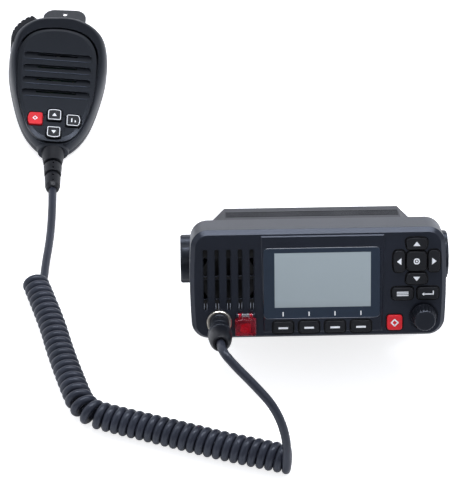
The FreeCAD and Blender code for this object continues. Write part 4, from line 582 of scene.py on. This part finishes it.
def cord_jacket(name, colour):
    """Extruded polyurethane jacket: satin, with faint die lines and the odd scuff from handling."""
    values = {"IOR": 1.5, "Specular Tint": (0.85, 0.9, 1.0, 1.0)}
    return grained(name, colour, 0.36, values, grain=1.1 * MM, depth=0.02 * MM, spread=0.2, edge=0.1 * MM)


def circuit_laminate(name, mask, copper):
    """Glass and epoxy board under green solder mask: glossy, with copper lands as paler squares.

    The lands are 3.2 mm apart."""
    material, shader = start_material(name, mask, 0.3, {"IOR": 1.55})
    place = add_node(material, "ShaderNodeTexCoord")
    lands = add_node(material, "ShaderNodeTexVoronoi", {"Scale": 1 / (3.2 * MM)},
                     {"Vector": place.outputs["Object"]}, distance="CHEBYCHEV")
    tone = add_node(material, "ShaderNodeValToRGB", links={"Fac": lands.outputs["Distance"]},
                    stops=((0.16, linear(copper)), (0.2, linear(mask))))
    material.node_tree.links.new(tone.outputs["Color"], shader.inputs["Base Color"])
    return material


def felted_fibre(name, colour):
    """Felted pulp or wool, as in a loudspeaker's cone, and on the strips of painted shade in the grille's
    slots: dull, with fibres 2 mm long.
    """
    return grained(name, colour, 0.85, None, grain=2.0 * MM, depth=0.08 * MM, spread=0.3)


def screen_printed_ink(name, colour):
    """Epoxy ink, screen printed and baked: opaque and slightly chalky.

    The mesh of the screen leaves dots of 0.1 mm, which are drawn at 0.8 mm so that they show."""
    return grained(name, colour, 0.55, None, grain=0.8 * MM, depth=0.01 * MM, spread=0.05, edge=0.02 * MM)


def display_window(name, colours, axes):
    """Hard-coated acrylic over a bonded liquid crystal panel.

    Dark ink printed behind it frames the panel's grey. The grey falls off a little towards the lower
    edge, where the panel's frame shades it, and a fine seam runs round the ink's edge."""
    material, shader = start_material(name, colours.border, 0.14, {"IOR": 1.49})
    low, high = spans("lcd_panel", axes)
    rim = 1.5 * MM
    half = (high - low)[:2] / 2 - np.array([rim, rim * 1.1])
    middle = axes @ ((low + high) / 2)
    lean = math.atan2(axes[2, 1], axes[1, 1])
    place = add_node(material, "ShaderNodeTexCoord")
    panel = add_node(material, "ShaderNodeMapping", {"Location": middle, "Rotation": (lean, 0, 0)},
                     {"Vector": place.outputs["Object"]}, vector_type="TEXTURE")
    distance = add_node(material, "ShaderNodeVectorMath", links={0: panel.outputs["Vector"]},
                        operation="ABSOLUTE")
    beyond = add_node(material, "ShaderNodeVectorMath", {1: (half[0], half[1], 1.0)},
                      {0: distance.outputs["Vector"]}, operation="SUBTRACT")
    outside = add_node(material, "ShaderNodeVectorMath", {1: (0, 0, 0)}, {0: beyond.outputs["Vector"]},
                       operation="MAXIMUM")
    reach = add_node(material, "ShaderNodeVectorMath", links={0: outside.outputs["Vector"]},
                     operation="LENGTH")
    ink = add_node(material, "ShaderNodeMapRange", {"From Min": 0.05 * MM, "From Max": 0.35 * MM},
                   {"Value": reach.outputs["Value"]})
    parts = add_node(material, "ShaderNodeSeparateXYZ", links={"Vector": panel.outputs["Vector"]})
    fall = add_node(material, "ShaderNodeMapRange", {"From Min": -half[1], "From Max": half[1]},
                    {"Value": parts.outputs["Y"]})
    shades = ((0.0, 0.88), (0.12, 0.97), (1.0, 1.03))
    grey = add_node(material, "ShaderNodeValToRGB", links={"Fac": fall.outputs["Result"]},
                    stops=[(height, shade(colours.screen, level)) for height, level in shades])
    mix = add_node(material, "ShaderNodeMix", {7: linear(colours.border)},
                   {0: ink.outputs["Result"], 6: grey.outputs["Color"]}, data_type="RGBA")
    gloss = add_node(material, "ShaderNodeMapRange", {"To Min": 0.3, "To Max": 0.14},
                     {"Value": ink.outputs["Result"]})
    round_edge = add_node(material, "ShaderNodeBevel", {"Radius": 0.3 * MM}, samples=4)
    links = material.node_tree.links
    links.new(mix.outputs[2], shader.inputs["Base Color"])
    links.new(gloss.outputs["Result"], shader.inputs["Roughness"])
    links.new(round_edge.outputs["Normal"], shader.inputs["Normal"])
    return material


FINISHES = {}
OWN_FINISH = {"speaker_frame": "basket", "plug_boot": "boot", "mic_strain_relief": "boot"}


def make_finishes():
    """One material for each slot of the record, and those of the scene's own pieces."""
    colours = settings()[2]
    FINISHES.update({
        "shell": moulded_polycarbonate("moulded_pc_abs_front", colours.shell),
        "mic_shell": moulded_polycarbonate("moulded_pc_abs_microphone", colours.mic_shell, roughness=0.3),
        "face_panel": moulded_polycarbonate("moulded_abs_face_panel", colours.panel, roughness=0.32),
        "lens": display_window("bonded_acrylic_window", colours, radio_axes()),
        "lcd": moulded_polycarbonate("liquid_crystal_cell", colours.screen, roughness=0.3, grain=0.3 * MM),
        "key_rubber": silicone_rubber("silicone_key", colours.keys),
        "key_red": silicone_rubber("red_silicone_key", colours.red, roughness=0.42),
        "cover_red": red_polycarbonate("tinted_polycarbonate_cover", colours.cover),
        "knob": moulded_polycarbonate("moulded_nylon_knob", colours.knob, roughness=0.38, grain=0.5 * MM),
        "chassis": powder_coat("powder_coated_die_casting", colours.chassis),
        "bracket": powder_coat("powder_coated_bracket", colours.bracket),
        "metal": plated_metal("nickel_plated_brass", "#dcd6ca", roughness=0.3),
        "steel": plated_metal("zinc_plated_steel", "#b9bcc0", roughness=0.32),
        "stainless_sheet": brushed_stainless("brushed_stainless_sheet", "#8d8f93", roughness=0.3),
        "insulator": moulded_polycarbonate("moulded_insulator", "#101010"),
        "cord": cord_jacket("polyurethane_cord_jacket", colours.cord),
        "seal": silicone_rubber("nitrile_rubber_seal", "#0d0e10", roughness=0.7),
        "circuit": circuit_laminate("solder_masked_laminate", mask="#0f4a2a", copper="#b8a25a"),
        "cone": felted_fibre("felted_paper_cone", "#141414"),
        "ink": screen_printed_ink("screen_printed_white_ink", "#eef0f2"),
        # Darker than the keys: painted shade in the gaps round the front's keys.
        "lip": silicone_rubber("keypad_lip_painted_gap_shade", "#07080a", roughness=0.75),
        # Pale grey that paints the highlight on the window's lower edge and on the grille's ribs.
        "painted_highlight": moulded_polycarbonate("pale_painted_highlight_plastic", "#8a8e98", roughness=0.25),
        "boot": silicone_rubber("moulded_elastomer_boot", "#12141a", roughness=0.4),
        # Near-black, nearly matt strips: painted shade in the grille's slots.
        "slot_shade": felted_fibre("painted_slot_shade_strip", "#050506"),
        # Paler than the microphone's shell: painted highlight on the louvre lips.
        "lip_highlight": moulded_polycarbonate("louvre_lip_painted_highlight", "#3c424e", roughness=0.22),
        "basket": powder_coat("black_stoved_speaker_basket", "#0d0e10", roughness=0.7),
    })


class RADIO_OT_finishes(bpy.types.Operator):
    """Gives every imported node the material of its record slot"""
    bl_idname = "radio.finishes"
    bl_label = "Finish the packed nodes"

    def execute(self, context):
        make_finishes()
        for name, node in NODES.items():
            finish = FINISHES[OWN_FINISH.get(name, SLOT_OF[name])]
            if node.material_slots:
                for material_slot in node.material_slots:
                    material_slot.material = finish
            else:
                node.data.materials.append(finish)
        return {"FINISHED"}


# ---------------------------------------------------------------- curly cord
def spline_points(name, points, resolution):
    """Points read from the smooth line of a NURBS spline that has these control points."""
    curve = bpy.data.curves.new(name, "CURVE")
    curve.dimensions = "3D"
    spline = curve.splines.new("NURBS")
    spline.points.add(len(points) - 1)
    spline.points.foreach_set("co", np.column_stack([points, np.ones(len(points))]).ravel())
    spline.order_u = 3
    spline.use_endpoint_u = True
    spline.resolution_u = resolution
    curve.resolution_u = resolution
    holder = bpy.data.objects.new(name, curve)
    mesh = bpy.data.meshes.new_from_object(holder)
    line = np.empty(len(mesh.vertices) * 3)
    mesh.vertices.foreach_get("co", line)
    bpy.data.objects.remove(holder)
    bpy.data.curves.remove(curve)
    bpy.data.meshes.remove(mesh)
    return line.reshape(-1, 3)


def helix_controls(cord):
    """Control points of the coil: axis point plus radius times (cos a across, sin a up).

    The angle a grows with the length along the axis at one turn a pitch, and the pitch opens where the
    axis bends, because the turns crowd on the inside there. The first point is in front of the axis,
    where the lead comes down; the last is under it, where the other lead sets off."""
    flat = np.array(COIL_ROUTE) * MM
    route = np.column_stack([flat, np.full(len(flat), COIL_HEIGHT * MM)])
    axis = spline_points("coil_axis", route, 60)
    step = np.linalg.norm(np.diff(axis, axis=0), axis=-1)
    length = np.concatenate([[0.0], np.cumsum(step)])
    even = np.linspace(0, length[-1], AXIS_STEPS)
    axis = read_at(even, length, axis)
    along = unit(np.gradient(axis, axis=0))
    bend = np.linalg.norm(np.gradient(along, even, axis=0), axis=-1)
    window = 2 * BEND_STEPS + 1
    bend = np.convolve(np.pad(bend, BEND_STEPS, mode="edge"), np.full(window, 1 / window), mode="valid")
    share = even / even[-1]
    radius = (cord.outer_plug * (1 - share) + cord.outer_mic * share - cord.diameter) / 2
    pitch = np.maximum(cord.pitch, CROWDED * cord.diameter / (1 - bend * radius))
    angle = np.concatenate([[0.0], np.cumsum(FULL_TURN / pitch[1:] * np.diff(even))])
    turns = round(angle[-1] / FULL_TURN - 0.25) + 0.25
    angle *= turns * FULL_TURN / angle[-1]
    count = int(round(turns * cord.points_per_turn)) + 1
    wanted = np.linspace(0, angle[-1], count)
    at = np.interp(wanted, angle, even)
    middle = read_at(at, even, axis)
    forward = unit(read_at(at, even, along))
    across = np.cross(forward, UP)
    reach = np.interp(at, even, radius) / math.cos(math.pi / cord.points_per_turn)
    middle[:, 2] = np.interp(at, even, radius) + cord.diameter / 2 + 0.2 * MM
    turn = wanted + math.pi
    points = middle + reach[:, None] * (np.cos(turn)[:, None] * across + np.sin(turn)[:, None] * UP)
    print("coil turns %.2f, axis %.1f mm" % (turns, even[-1] / MM))
    return points, forward


class RADIO_OT_curly_cord(bpy.types.Operator):
    """The whole cord as one line: plug lead, coil and microphone lead"""
    bl_idname = "radio.curly_cord"
    bl_label = "Curly cord"

    def execute(self, context):
        cord = settings()[0]
        out = radio_axes()[:, 2]
        boot_end = top_of("plug_boot", radio_axes())
        mouth = boot_end - out * BOOT_MOUTH_DEPTH * MM
        plug_lead = [mouth, boot_end + out * LEAD_STRAIGHT * MM] + [np.array(p) * MM for p in PLUG_LEAD_ROUTE]
        coil, forward = helix_controls(cord)
        middle, towards = turned_axis("mic_strain_relief", -np.array([0.0, 1.0, 0.0]))
        tip = middle + towards * (vertices("mic_strain_relief") - middle).dot(towards).max()
        mic_lead = [np.array(p) * MM for p in MIC_LEAD_ROUTE] + [tip + towards * RELIEF_STRAIGHT * MM, tip]
        controls = np.concatenate([plug_lead, coil, mic_lead])
        line = spline_points("cord_line", controls, 6)
        reference = np.concatenate([np.tile(forward[0], (len(plug_lead), 1)), forward,
                                    np.tile(UP, (len(mic_lead), 1))])
        place = np.linspace(0, len(controls) - 1, len(line))
        reference = read_at(place, np.arange(len(controls)), reference)
        shape = rod(line, reference, cord.diameter / 2, cord.sides)
        piece = new_piece("curly_cord", shape, FINISHES["cord"])
        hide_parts("coil_cord", "plug_lead", "mic_lead")
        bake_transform(piece)
        return {"FINISHED"}


# ---------------------------------------------------------------- printed marks
def triangle(width, height, turn):
    """A triangle with slightly rounded corners, pointing up the face and then turned."""
    corners = np.array([(-width / 2, -height / 2), (width / 2, -height / 2), (0.0, height / 2)])
    cos, sin = math.cos(turn), math.sin(turn)
    return rounded(corners, PRINT_CORNER * MM) @ np.array([(cos, sin), (-sin, cos)])


def rhomb(across, corner):
    """A square that stands on one of its rounded corners."""
    return rounded(across / 2 * np.array([(0, -1), (1, 0), (0, 1), (-1, 0)]), corner)


def disc(across):
    """A round outline: a square whose rounded corners leave hardly any of its sides."""
    return rectangle(across, across, across / 2 - 0.02 * MM)


def print_mark(name, key, axes, outlines):
    """One printed piece on a key's flat top, from pairs of an outline and the width of its line.

    Where the width is None the outline is filled, and else a line follows it on its inside."""
    origin = cap_middle(key, axes)
    thick = settings()[1].film
    shapes = [film(outline, origin, axes, thick) if line is None
              else band(outline, grown(outline, -line), origin, axes, thick, -thick)
              for outline, line in outlines]
    new_piece(name, merged(shapes), FINISHES["ink"], body=NODES[key]["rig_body"], smooth=False)


def bars(width, height, pitch, count):
    """Equal bars, one over the other."""
    middle = (count - 1) / 2
    return [rectangle(width, height, PRINT_CORNER * MM, 0.0, (middle - index) * pitch)
            for index in range(count)]


def return_arrow(width, height, line):
    """An arrow that runs left to its head and comes from a hook on the right, as three outlines."""
    w, h = width / 2, height / 2
    head = rounded([(-w, -h / 4), (-w + 0.42 * height, -h), (-w + 0.42 * height, h / 2)], 0.1 * MM)
    shaft = rectangle(width - 0.4 * height, line, SMALL_CORNER * MM, 0.2 * height, -h / 4)
    hook = rectangle(line, 0.75 * height + line / 2, SMALL_CORNER * MM, w - line / 2, h / 4 + line / 8)
    return [head, shaft, hook]


class RADIO_OT_front_marks(bpy.types.Operator):
    """White marks on the front's keys, and the ticks over the soft keys"""
    bl_idname = "radio.front_marks"
    bl_label = "Front marks"

    def execute(self, context):
        marks = settings()[1]
        axes = radio_axes()
        dash = rectangle(marks.dash_width, marks.dash_height, PRINT_CORNER * MM, 0.0, -marks.dash_drop)
        for key in SOFT_KEYS:
            print_mark("dash_" + key[-1], key, axes, [(dash, None)])
        for quarters, key in enumerate(("key_up", "key_left", "key_down", "key_right")):
            arrow = triangle(marks.arrow_width, marks.arrow_height, quarters * math.pi / 2)
            print_mark("arrow_" + key[4:], key, axes, [(arrow, None)])
        ring = resampled(disc(OK_RING * MM), 48)
        print_mark("mark_ok", "key_ok", axes, [(ring, OK_RING_LINE * MM), (disc(OK_DOT * MM), None)])
        menu = bars(marks.symbol_width, MENU_BAR * MM, MENU_PITCH * MM, MENU_BARS)
        print_mark("mark_menu", "key_menu", axes, [(bar, None) for bar in menu])
        back = return_arrow(marks.symbol_width, RETURN_HEIGHT * MM, RETURN_LINE * MM)
        print_mark("mark_back", "key_back", axes, [(part, None) for part in back])
        red = rhomb(RHOMB * MM, RHOMB_CORNER * MM)
        print_mark("mark_red_key", "key_sixteen", axes, [(red, RHOMB_LINE * MM)])
        self.ticks(axes, marks)
        return {"FINISHED"}

    def ticks(self, axes, marks):
        """One tick over each soft key, on the window's printed border."""
        low, high = spans("screen_lens", axes)
        tick = rectangle(TICK_WIDTH * MM, marks.tick_height, TICK_CORNER * MM)
        shapes = []
        for key in SOFT_KEYS:
            middle = cap_middle(key, axes) @ axes
            spot = np.array([middle[0], low[1] + TICK_UP * MM, high[2]])
            shapes.append(film(tick, axes @ spot, axes, marks.film))
        new_piece("window_ticks", merged(shapes), FINISHES["ink"], body="radio", smooth=False)


class RADIO_OT_mic_marks(bpy.types.Operator):
    """White marks and outlines on the microphone's keys"""
    bl_idname = "radio.mic_marks"
    bl_label = "Microphone marks"
    line: bpy.props.FloatProperty(name="Outline", description="Width of the line round a key",
                                  default=0.5 * MM, unit="LENGTH")

    def edge_line(self, key, axes):
        """The line that follows a key's own edge, 0.1 mm inside it."""
        return grown(cap_outline(key, axes), -0.1 * MM), self.line

    def execute(self, context):
        axes = mic_axes()
        for key, turn in (("mic_key_up", 0.0), ("mic_key_down", math.pi)):
            arrow = triangle(MIC_ARROW_WIDTH * MM, MIC_ARROW_HEIGHT * MM, turn)
            print_mark("arrow_" + key[4:], key, axes, [(arrow, None), self.edge_line(key, axes)])
        power = [(rectangle(width * MM, height * MM, SMALL_CORNER * MM, x * MM, y * MM), None)
                 for width, height, x, y in POWER_BARS]
        print_mark("mark_mic_power", "mic_key_power", axes, power + [self.edge_line("mic_key_power", axes)])
        red = rhomb(MIC_RHOMB * MM, MIC_RHOMB_CORNER * MM)
        print_mark("mark_mic_red_key", "mic_key_sixteen", axes, [(red, MIC_RHOMB_LINE * MM)])
        return {"FINISHED"}


# -------------------------------------------------------- small pieces of the front and the microphone
class RADIO_OT_key_lips_gap_shade(bpy.types.Operator):
    """The keypad's rubber lip round every key, darker than the keys: painted shade of the gap between a key
    and its opening
    """
    bl_idname = "radio.key_lips"
    bl_label = "Key lips and gap shade"
    width: bpy.props.FloatProperty(name="Lip", description="Width of the lip round a key", default=0.55 * MM,
                                   unit="LENGTH")

    def execute(self, context):
        """A lip is the strip from the opening's edge, 0.02 mm inside it, to one lip width further out."""
        axes = radio_axes()
        shapes = []
        for key in FRONT_KEYS:
            edge = grown(cap_outline(key, axes), (KEY_ROUND + KEY_GAP - 0.02) * MM)
            sunk = KEY_PROUD - (PANEL_PROUD if key in SOFT_KEYS else 0.0)
            shapes.append(band(grown(edge, self.width), edge, cap_middle(key, axes), axes,
                               (KEY_LIP_TOP - sunk) * MM, (KEY_LIP_FOOT - sunk) * MM))
        new_piece("key_lips_gap_shade", merged(shapes), FINISHES["lip"], body="radio")
        return {"FINISHED"}


class RADIO_OT_window_highlight_bead(bpy.types.Operator):
    """The lower edge of the window as a pale grey rod: a painted highlight where the polished edge catches
    the light
    """
    bl_idname = "radio.window_bead"
    bl_label = "Window highlight bead"
    radius: bpy.props.FloatProperty(name="Radius", description="Radius of the polished edge",
                                    default=0.24 * MM, unit="LENGTH")
    climb: bpy.props.FloatProperty(name="Climb", description="How far it climbs the sides", default=7.0 * MM,
                                   unit="LENGTH")

    def execute(self, context):
        """The bead is a rod along the window's edge, 0.1 mm outside it and 0.2 mm under its face."""
        axes = radio_axes()
        edge = grown(cap_outline("screen_lens", axes, EDGE_POINTS), 0.1 * MM)
        low = lower_edge(edge, edge[:, 1].min() + self.climb)
        path = laid(low, cap_middle("screen_lens", axes), axes, -0.2 * MM)
        shape = rod(path, axes[:, 2], swollen(self.radius, 8, len(path)), ROD_SIDES)
        new_piece("window_highlight_bead", shape, FINISHES["painted_highlight"], body="radio")
        return {"FINISHED"}


def slot_middles():
    """The middles of the grille's slots across the front."""
    return [(FIRST_SLOT + index * SLOT_PITCH) * MM for index in range(SLOT_COUNT)]


class RADIO_OT_grille_slot_shade(bpy.types.Operator):
    """Painted shade: near-black strips in the slots of the grille, over, between and under the openings,
    where the slots' floor lies in shade
    """
    bl_idname = "radio.grille_felt"
    bl_label = "Grille slot shade"
    width: bpy.props.FloatProperty(name="Strip", description="Width of a strip", default=2.3 * MM,
                                   unit="LENGTH")

    def execute(self, context):
        axes = radio_axes()
        origin = cap_middle("key_ok", axes) - axes[:, 2] * (KEY_PROUD + SLOT_SINK) * MM
        column = (origin @ axes)[0]
        shapes = []
        for x in slot_middles():
            for low, high in SLOT_SHADE_SPANS:
                strip = rectangle(self.width, (high - low) * MM, SLOT_SHADE_CORNER * MM, x - column,
                                  ((low + high) / 2 - PAD_UP) * MM)
                shapes.append(film(strip, origin, axes, SLOT_SHADE_THICK * MM))
        new_piece("grille_slot_shade", merged(shapes), FINISHES["slot_shade"], body="radio")
        return {"FINISHED"}


class RADIO_OT_grille_highlight_ribs(bpy.types.Operator):
    """Two small pale ribs at the foot of every slot of the grille: a painted highlight where the slot's foot
    catches the light
    """
    bl_idname = "radio.grille_ribs"
    bl_label = "Grille highlight ribs"
    length: bpy.props.FloatProperty(name="Length", description="Length of a rib", default=4.2 * MM,
                                    unit="LENGTH")
    spread: bpy.props.FloatProperty(name="Spread", description="Between the two ribs", default=1.7 * MM,
                                    unit="LENGTH")

    def execute(self, context):
        """A rib is a rod up the slot whose height falls from the full rise as the root of 1 - s^2.

        Its radius swells as the root of 4 s (1 - s), where s runs from 0 at its foot to 1."""
        axes = radio_axes()
        plane = cap_middle("key_ok", axes) @ axes
        floor = plane[2] - (KEY_PROUD + SLOT_SINK) * MM
        foot = plane[1] + (SLOT_FOOT - PAD_UP + RIB_START) * MM
        share = np.linspace(0, 1, RIB_POINTS)
        height = floor + (RIB_RISE * np.sqrt(1 - share ** 2) - RIB_SUNK) * MM
        radius = RIB_RADIUS * MM * np.sqrt(np.clip(4 * share * (1 - share), 0.1, 1.0))
        shapes = []
        for x in slot_middles():
            for side in (-0.5, 0.5):
                across = np.full(RIB_POINTS, x + side * self.spread)
                path = np.column_stack([across, foot + self.length * share, height]) @ axes.T
                shapes.append(rod(path, RIGHT, radius, RIB_SIDES))
        # The ribs' pale grey is a painted highlight.
        new_piece("grille_highlight_ribs", merged(shapes), FINISHES["painted_highlight"], body="radio")
        return {"FINISHED"}


class RADIO_OT_louvre_highlight_lips(bpy.types.Operator):
    """The rounded lip that runs along the foot of every louvre, paler grey than the microphone: a painted
    highlight where it catches the light
    """
    bl_idname = "radio.louvre_lips"
    bl_label = "Louvre highlight lips"
    radius: bpy.props.FloatProperty(name="Radius", description="Radius of the lip", default=0.3 * MM,
                                    unit="LENGTH")

    def execute(self, context):
        """A lip is a rod along the lower edge of a louvre, 0.12 mm under the face panel."""
        axes = mic_axes()
        origin = cap_middle("mic_key_up", axes) - axes[:, 2] * MIC_KEY_PROUD * MM
        louvre = rectangle(LOUVRE_WIDTH * MM, LOUVRE_HEIGHT * MM, LOUVRE_CORNER * MM)
        foot = lower_edge(resampled(louvre, EDGE_POINTS), -LOUVRE_HEIGHT * MM / 4)
        radius = swollen(self.radius, 12, len(foot))
        shapes = []
        for index in range(LOUVRE_COUNT):
            up = (TOP_LOUVRE_UP - index * LOUVRE_PITCH - MIC_UP_KEY_UP) / math.cos(MIC_FACE_SLOPE) * MM
            path = laid(foot + np.array([0.0, up]), origin, axes, -0.12 * MM)
            shapes.append(rod(path, axes[:, 2], radius, ROD_SIDES))
        new_piece("louvre_highlight_lips", merged(shapes), FINISHES["lip_highlight"], body="base")
        return {"FINISHED"}


class RADIO_OT_cover_spring(bpy.types.Operator):
    """Two small torsion springs of the flip cover, wound round its hinge pin, each with a leg"""
    bl_idname = "radio.cover_spring"
    bl_label = "Cover spring"
    wire: bpy.props.FloatProperty(name="Wire", description="Wire diameter", default=0.6 * MM, unit="LENGTH")
    turns: bpy.props.FloatProperty(name="Turns", description="Turns of each spring", default=2.5)
    leg: bpy.props.FloatProperty(name="Leg", description="Length of a leg", default=2.6 * MM, unit="LENGTH")

    def execute(self, context):
        """A spring is a rod up its leg and round the pin: (1 - 0.9 s) of its half length along the pin, and
        its radius times (sin a, cos a) round it, where s runs from 0 to 1 and a through all its turns."""
        axes = radio_axes()
        low, high = spans("distress_spring", axes)
        half = (high - low)[0] / 2 - self.wire / 2
        radius = (high - low)[2] / 2 - self.wire / 2
        share = np.linspace(0, 1, SPRING_POINTS)
        angle = share * self.turns * FULL_TURN
        wound = np.column_stack([half * (1 - 0.9 * share), radius * np.sin(angle), radius * np.cos(angle)])
        down = np.linspace(-self.leg, -0.1 * MM, LEG_POINTS)
        leg = np.column_stack([np.full(LEG_POINTS, half), down, np.full(LEG_POINTS, radius)])
        line = np.concatenate([leg, wound])
        shapes = []
        for side in (-1, 1):
            path = ((low + high) / 2 + line * np.array([side, 1, 1])) @ axes.T
            shapes.append(rod(path, RIGHT + 0.3 * axes[:, 2], self.wire / 2, ROD_SIDES))
        piece = new_piece("cover_spring", merged(shapes), FINISHES["steel"], body="distress_cover")
        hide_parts("distress_spring")
        return {"FINISHED"}


# ---------------------------------------------------------------- stage
class RADIO_OT_stage(bpy.types.Operator):
    """Pale floor, soft lamps, world light and the camera"""
    bl_idname = "radio.stage"
    bl_label = "Stage"
    daylight: bpy.props.FloatVectorProperty(name="Daylight", description="Colour of the lamps and the room",
                                            default=(0.93, 0.96, 1.04), subtype="COLOR", max=2.0)

    def execute(self, context):
        stage = settings()[3]
        scene = context.scene
        corners = FLOOR_HALF * np.array([(-1, -1, 0), (1, -1, 0), (1, 1, 0), (-1, 1, 0)])
        floor = new_piece("floor", (corners, [[0, 1, 2, 3]]), self.floor_material(), smooth=False)
        for lamp in LAMPS:
            self.lamp(*lamp)
        self.world(scene)
        camera = bpy.data.cameras.new("camera")
        camera.lens = stage.lens
        camera.sensor_width = SENSOR_WIDTH
        camera.clip_start, camera.clip_end = 0.05, 50.0
        holder = bpy.data.objects.new("camera", camera)
        holder.location = stage.camera_at
        holder.rotation_euler = (math.pi / 2 - stage.elevation, 0.0, stage.azimuth)
        scene.collection.objects.link(holder)
        scene.camera = holder
        scene.view_settings.view_transform = "Standard"
        return {"FINISHED"}

    def floor_material(self):
        """Matt white paper sweep: takes the shadow, and reads as white paper where it is lit."""
        material, shader = start_material("matt_paper_sweep", PAPER_COLOUR, 0.9, {"Specular IOR Level": 0.0})
        glow = add_node(material, "ShaderNodeEmission", links={"Strength": self.paper_seen(material)})
        both = add_node(material, "ShaderNodeAddShader", links={0: shader.outputs["BSDF"],
                                                                1: glow.outputs["Emission"]})
        output = material.node_tree.nodes["Material Output"]
        material.node_tree.links.new(both.outputs["Shader"], output.inputs["Surface"])
        return material

    def paper_seen(self, material):
        """How much the paper is lifted to white: more for the camera than for mirror and glass rays."""
        rays = add_node(material, "ShaderNodeLightPath")
        bounced = add_node(material, "ShaderNodeMath", links={0: rays.outputs["Is Glossy Ray"],
                                                              1: rays.outputs["Is Transmission Ray"]},
                           operation="MAXIMUM")
        soft = add_node(material, "ShaderNodeMath", {1: PAPER_MIRRORED}, {0: bounced.outputs["Value"]},
                        operation="MULTIPLY")
        direct = add_node(material, "ShaderNodeMath", {1: PAPER_SEEN}, {0: rays.outputs["Is Camera Ray"]},
                          operation="MULTIPLY")
        either = add_node(material, "ShaderNodeMath", links={0: direct.outputs["Value"],
                                                             1: soft.outputs["Value"]}, operation="MAXIMUM")
        return either.outputs["Value"]

    def lamp(self, name, at, aim, width, height, power):
        """A rectangular softbox that looks at a point."""
        light = bpy.data.lights.new(name, "AREA")
        light.shape = "RECTANGLE"
        light.size, light.size_y = width, height
        light.energy = power
        light.color = self.daylight
        lamp = bpy.data.objects.new(name, light)
        at, aim = np.array(at), np.array(aim)
        lamp.location = at
        back = unit(at - aim)
        right = unit(np.cross(UP, back))
        turn = np.column_stack([right, np.cross(back, right), back])
        lamp.rotation_euler = Matrix(turn.tolist()).to_euler()
        bpy.context.scene.collection.objects.link(lamp)

    def world(self, scene):
        """Even room light, and a white paper sweep that stands behind the object up to 40 degrees.

        The camera sees white everywhere; mirror-like surfaces see the sweep where it stands and a dim
        room elsewhere."""
        world = bpy.data.worlds.new("studio")
        scene.world = world
        world.use_nodes = True
        rays = add_node(world, "ShaderNodeLightPath")
        place = add_node(world, "ShaderNodeTexCoord")
        parts = add_node(world, "ShaderNodeSeparateXYZ", links={"Vector": place.outputs["Generated"]})
        behind = add_node(world, "ShaderNodeMapRange", {"From Min": -0.1, "From Max": 0.4},
                          {"Value": parts.outputs["Y"]})
        below = add_node(world, "ShaderNodeMapRange", {"From Min": 0.75, "From Max": 0.45},
                         {"Value": parts.outputs["Z"]})
        sweep = add_node(world, "ShaderNodeMath", links={0: behind.outputs["Result"],
                                                         1: below.outputs["Result"]}, operation="MULTIPLY")
        mirrored = add_node(world, "ShaderNodeMath", links={0: sweep.outputs["Value"],
                                                            1: rays.outputs["Is Glossy Ray"]},
                            operation="MULTIPLY")
        open_rays = add_node(world, "ShaderNodeMath", links={0: rays.outputs["Is Camera Ray"],
                                                             1: rays.outputs["Is Transmission Ray"]},
                             operation="MAXIMUM")
        seen = add_node(world, "ShaderNodeMath", links={0: open_rays.outputs["Value"],
                                                        1: mirrored.outputs["Value"]}, operation="MAXIMUM")
        room = add_node(world, "ShaderNodeMapRange", {"To Min": ROOM_LIGHT, "To Max": ROOM_MIRRORED},
                        {"Value": rays.outputs["Is Glossy Ray"]})
        strength = add_node(world, "ShaderNodeMapRange", {"To Max": 1.0},
                            {"Value": seen.outputs["Value"], "To Min": room.outputs["Result"]})
        background = world.node_tree.nodes["Background"]
        background.inputs["Color"].default_value = (*self.daylight, 1.0)
        world.node_tree.links.new(strength.outputs["Result"], background.inputs["Strength"])


# ---------------------------------------------------------------- panel, registration and main
OPERATORS = (RADIO_OT_finishes, RADIO_OT_curly_cord, RADIO_OT_front_marks, RADIO_OT_mic_marks,
             RADIO_OT_key_lips_gap_shade, RADIO_OT_window_highlight_bead, RADIO_OT_grille_slot_shade, RADIO_OT_grille_highlight_ribs,
             RADIO_OT_louvre_highlight_lips, RADIO_OT_cover_spring, RADIO_OT_stage)
GROUPS = {"radio_cord": CordSettings, "radio_marks": MarkSettings, "radio_colours": ColourSettings,
          "radio_stage": StageSettings}


class RADIO_PT_panel(bpy.types.Panel):
    """Settings and steps of the radio, in the sidebar."""
    bl_label = "Marine radio"
    bl_idname = "RADIO_PT_panel"
    bl_space_type = "VIEW_3D"
    bl_region_type = "UI"
    bl_category = "Radio"

    def draw(self, context):
        layout = self.layout
        for group_name, group in GROUPS.items():
            box = layout.box()
            for key in group.__annotations__:
                box.prop(getattr(context.scene, group_name), key)
        for operator in OPERATORS:
            layout.operator(operator.bl_idname)


def register():
    """Registers the settings, the steps and the panel."""
    for group_name, group in GROUPS.items():
        bpy.utils.register_class(group)
        setattr(bpy.types.Scene, group_name, bpy.props.PointerProperty(type=group))
    for item in OPERATORS + (RADIO_PT_panel,):
        bpy.utils.register_class(item)


def unregister():
    """Takes away what register put in."""
    for item in reversed(OPERATORS + (RADIO_PT_panel,)):
        bpy.utils.unregister_class(item)
    for group_name, group in GROUPS.items():
        delattr(bpy.types.Scene, group_name)
        bpy.utils.unregister_class(group)


def main():
    """Runs every step in order."""
    register()
    for operator in OPERATORS:
        family, name = operator.bl_idname.split(".")
        getattr(getattr(bpy.ops, family), name)()


if __name__ == "__main__":
    main()
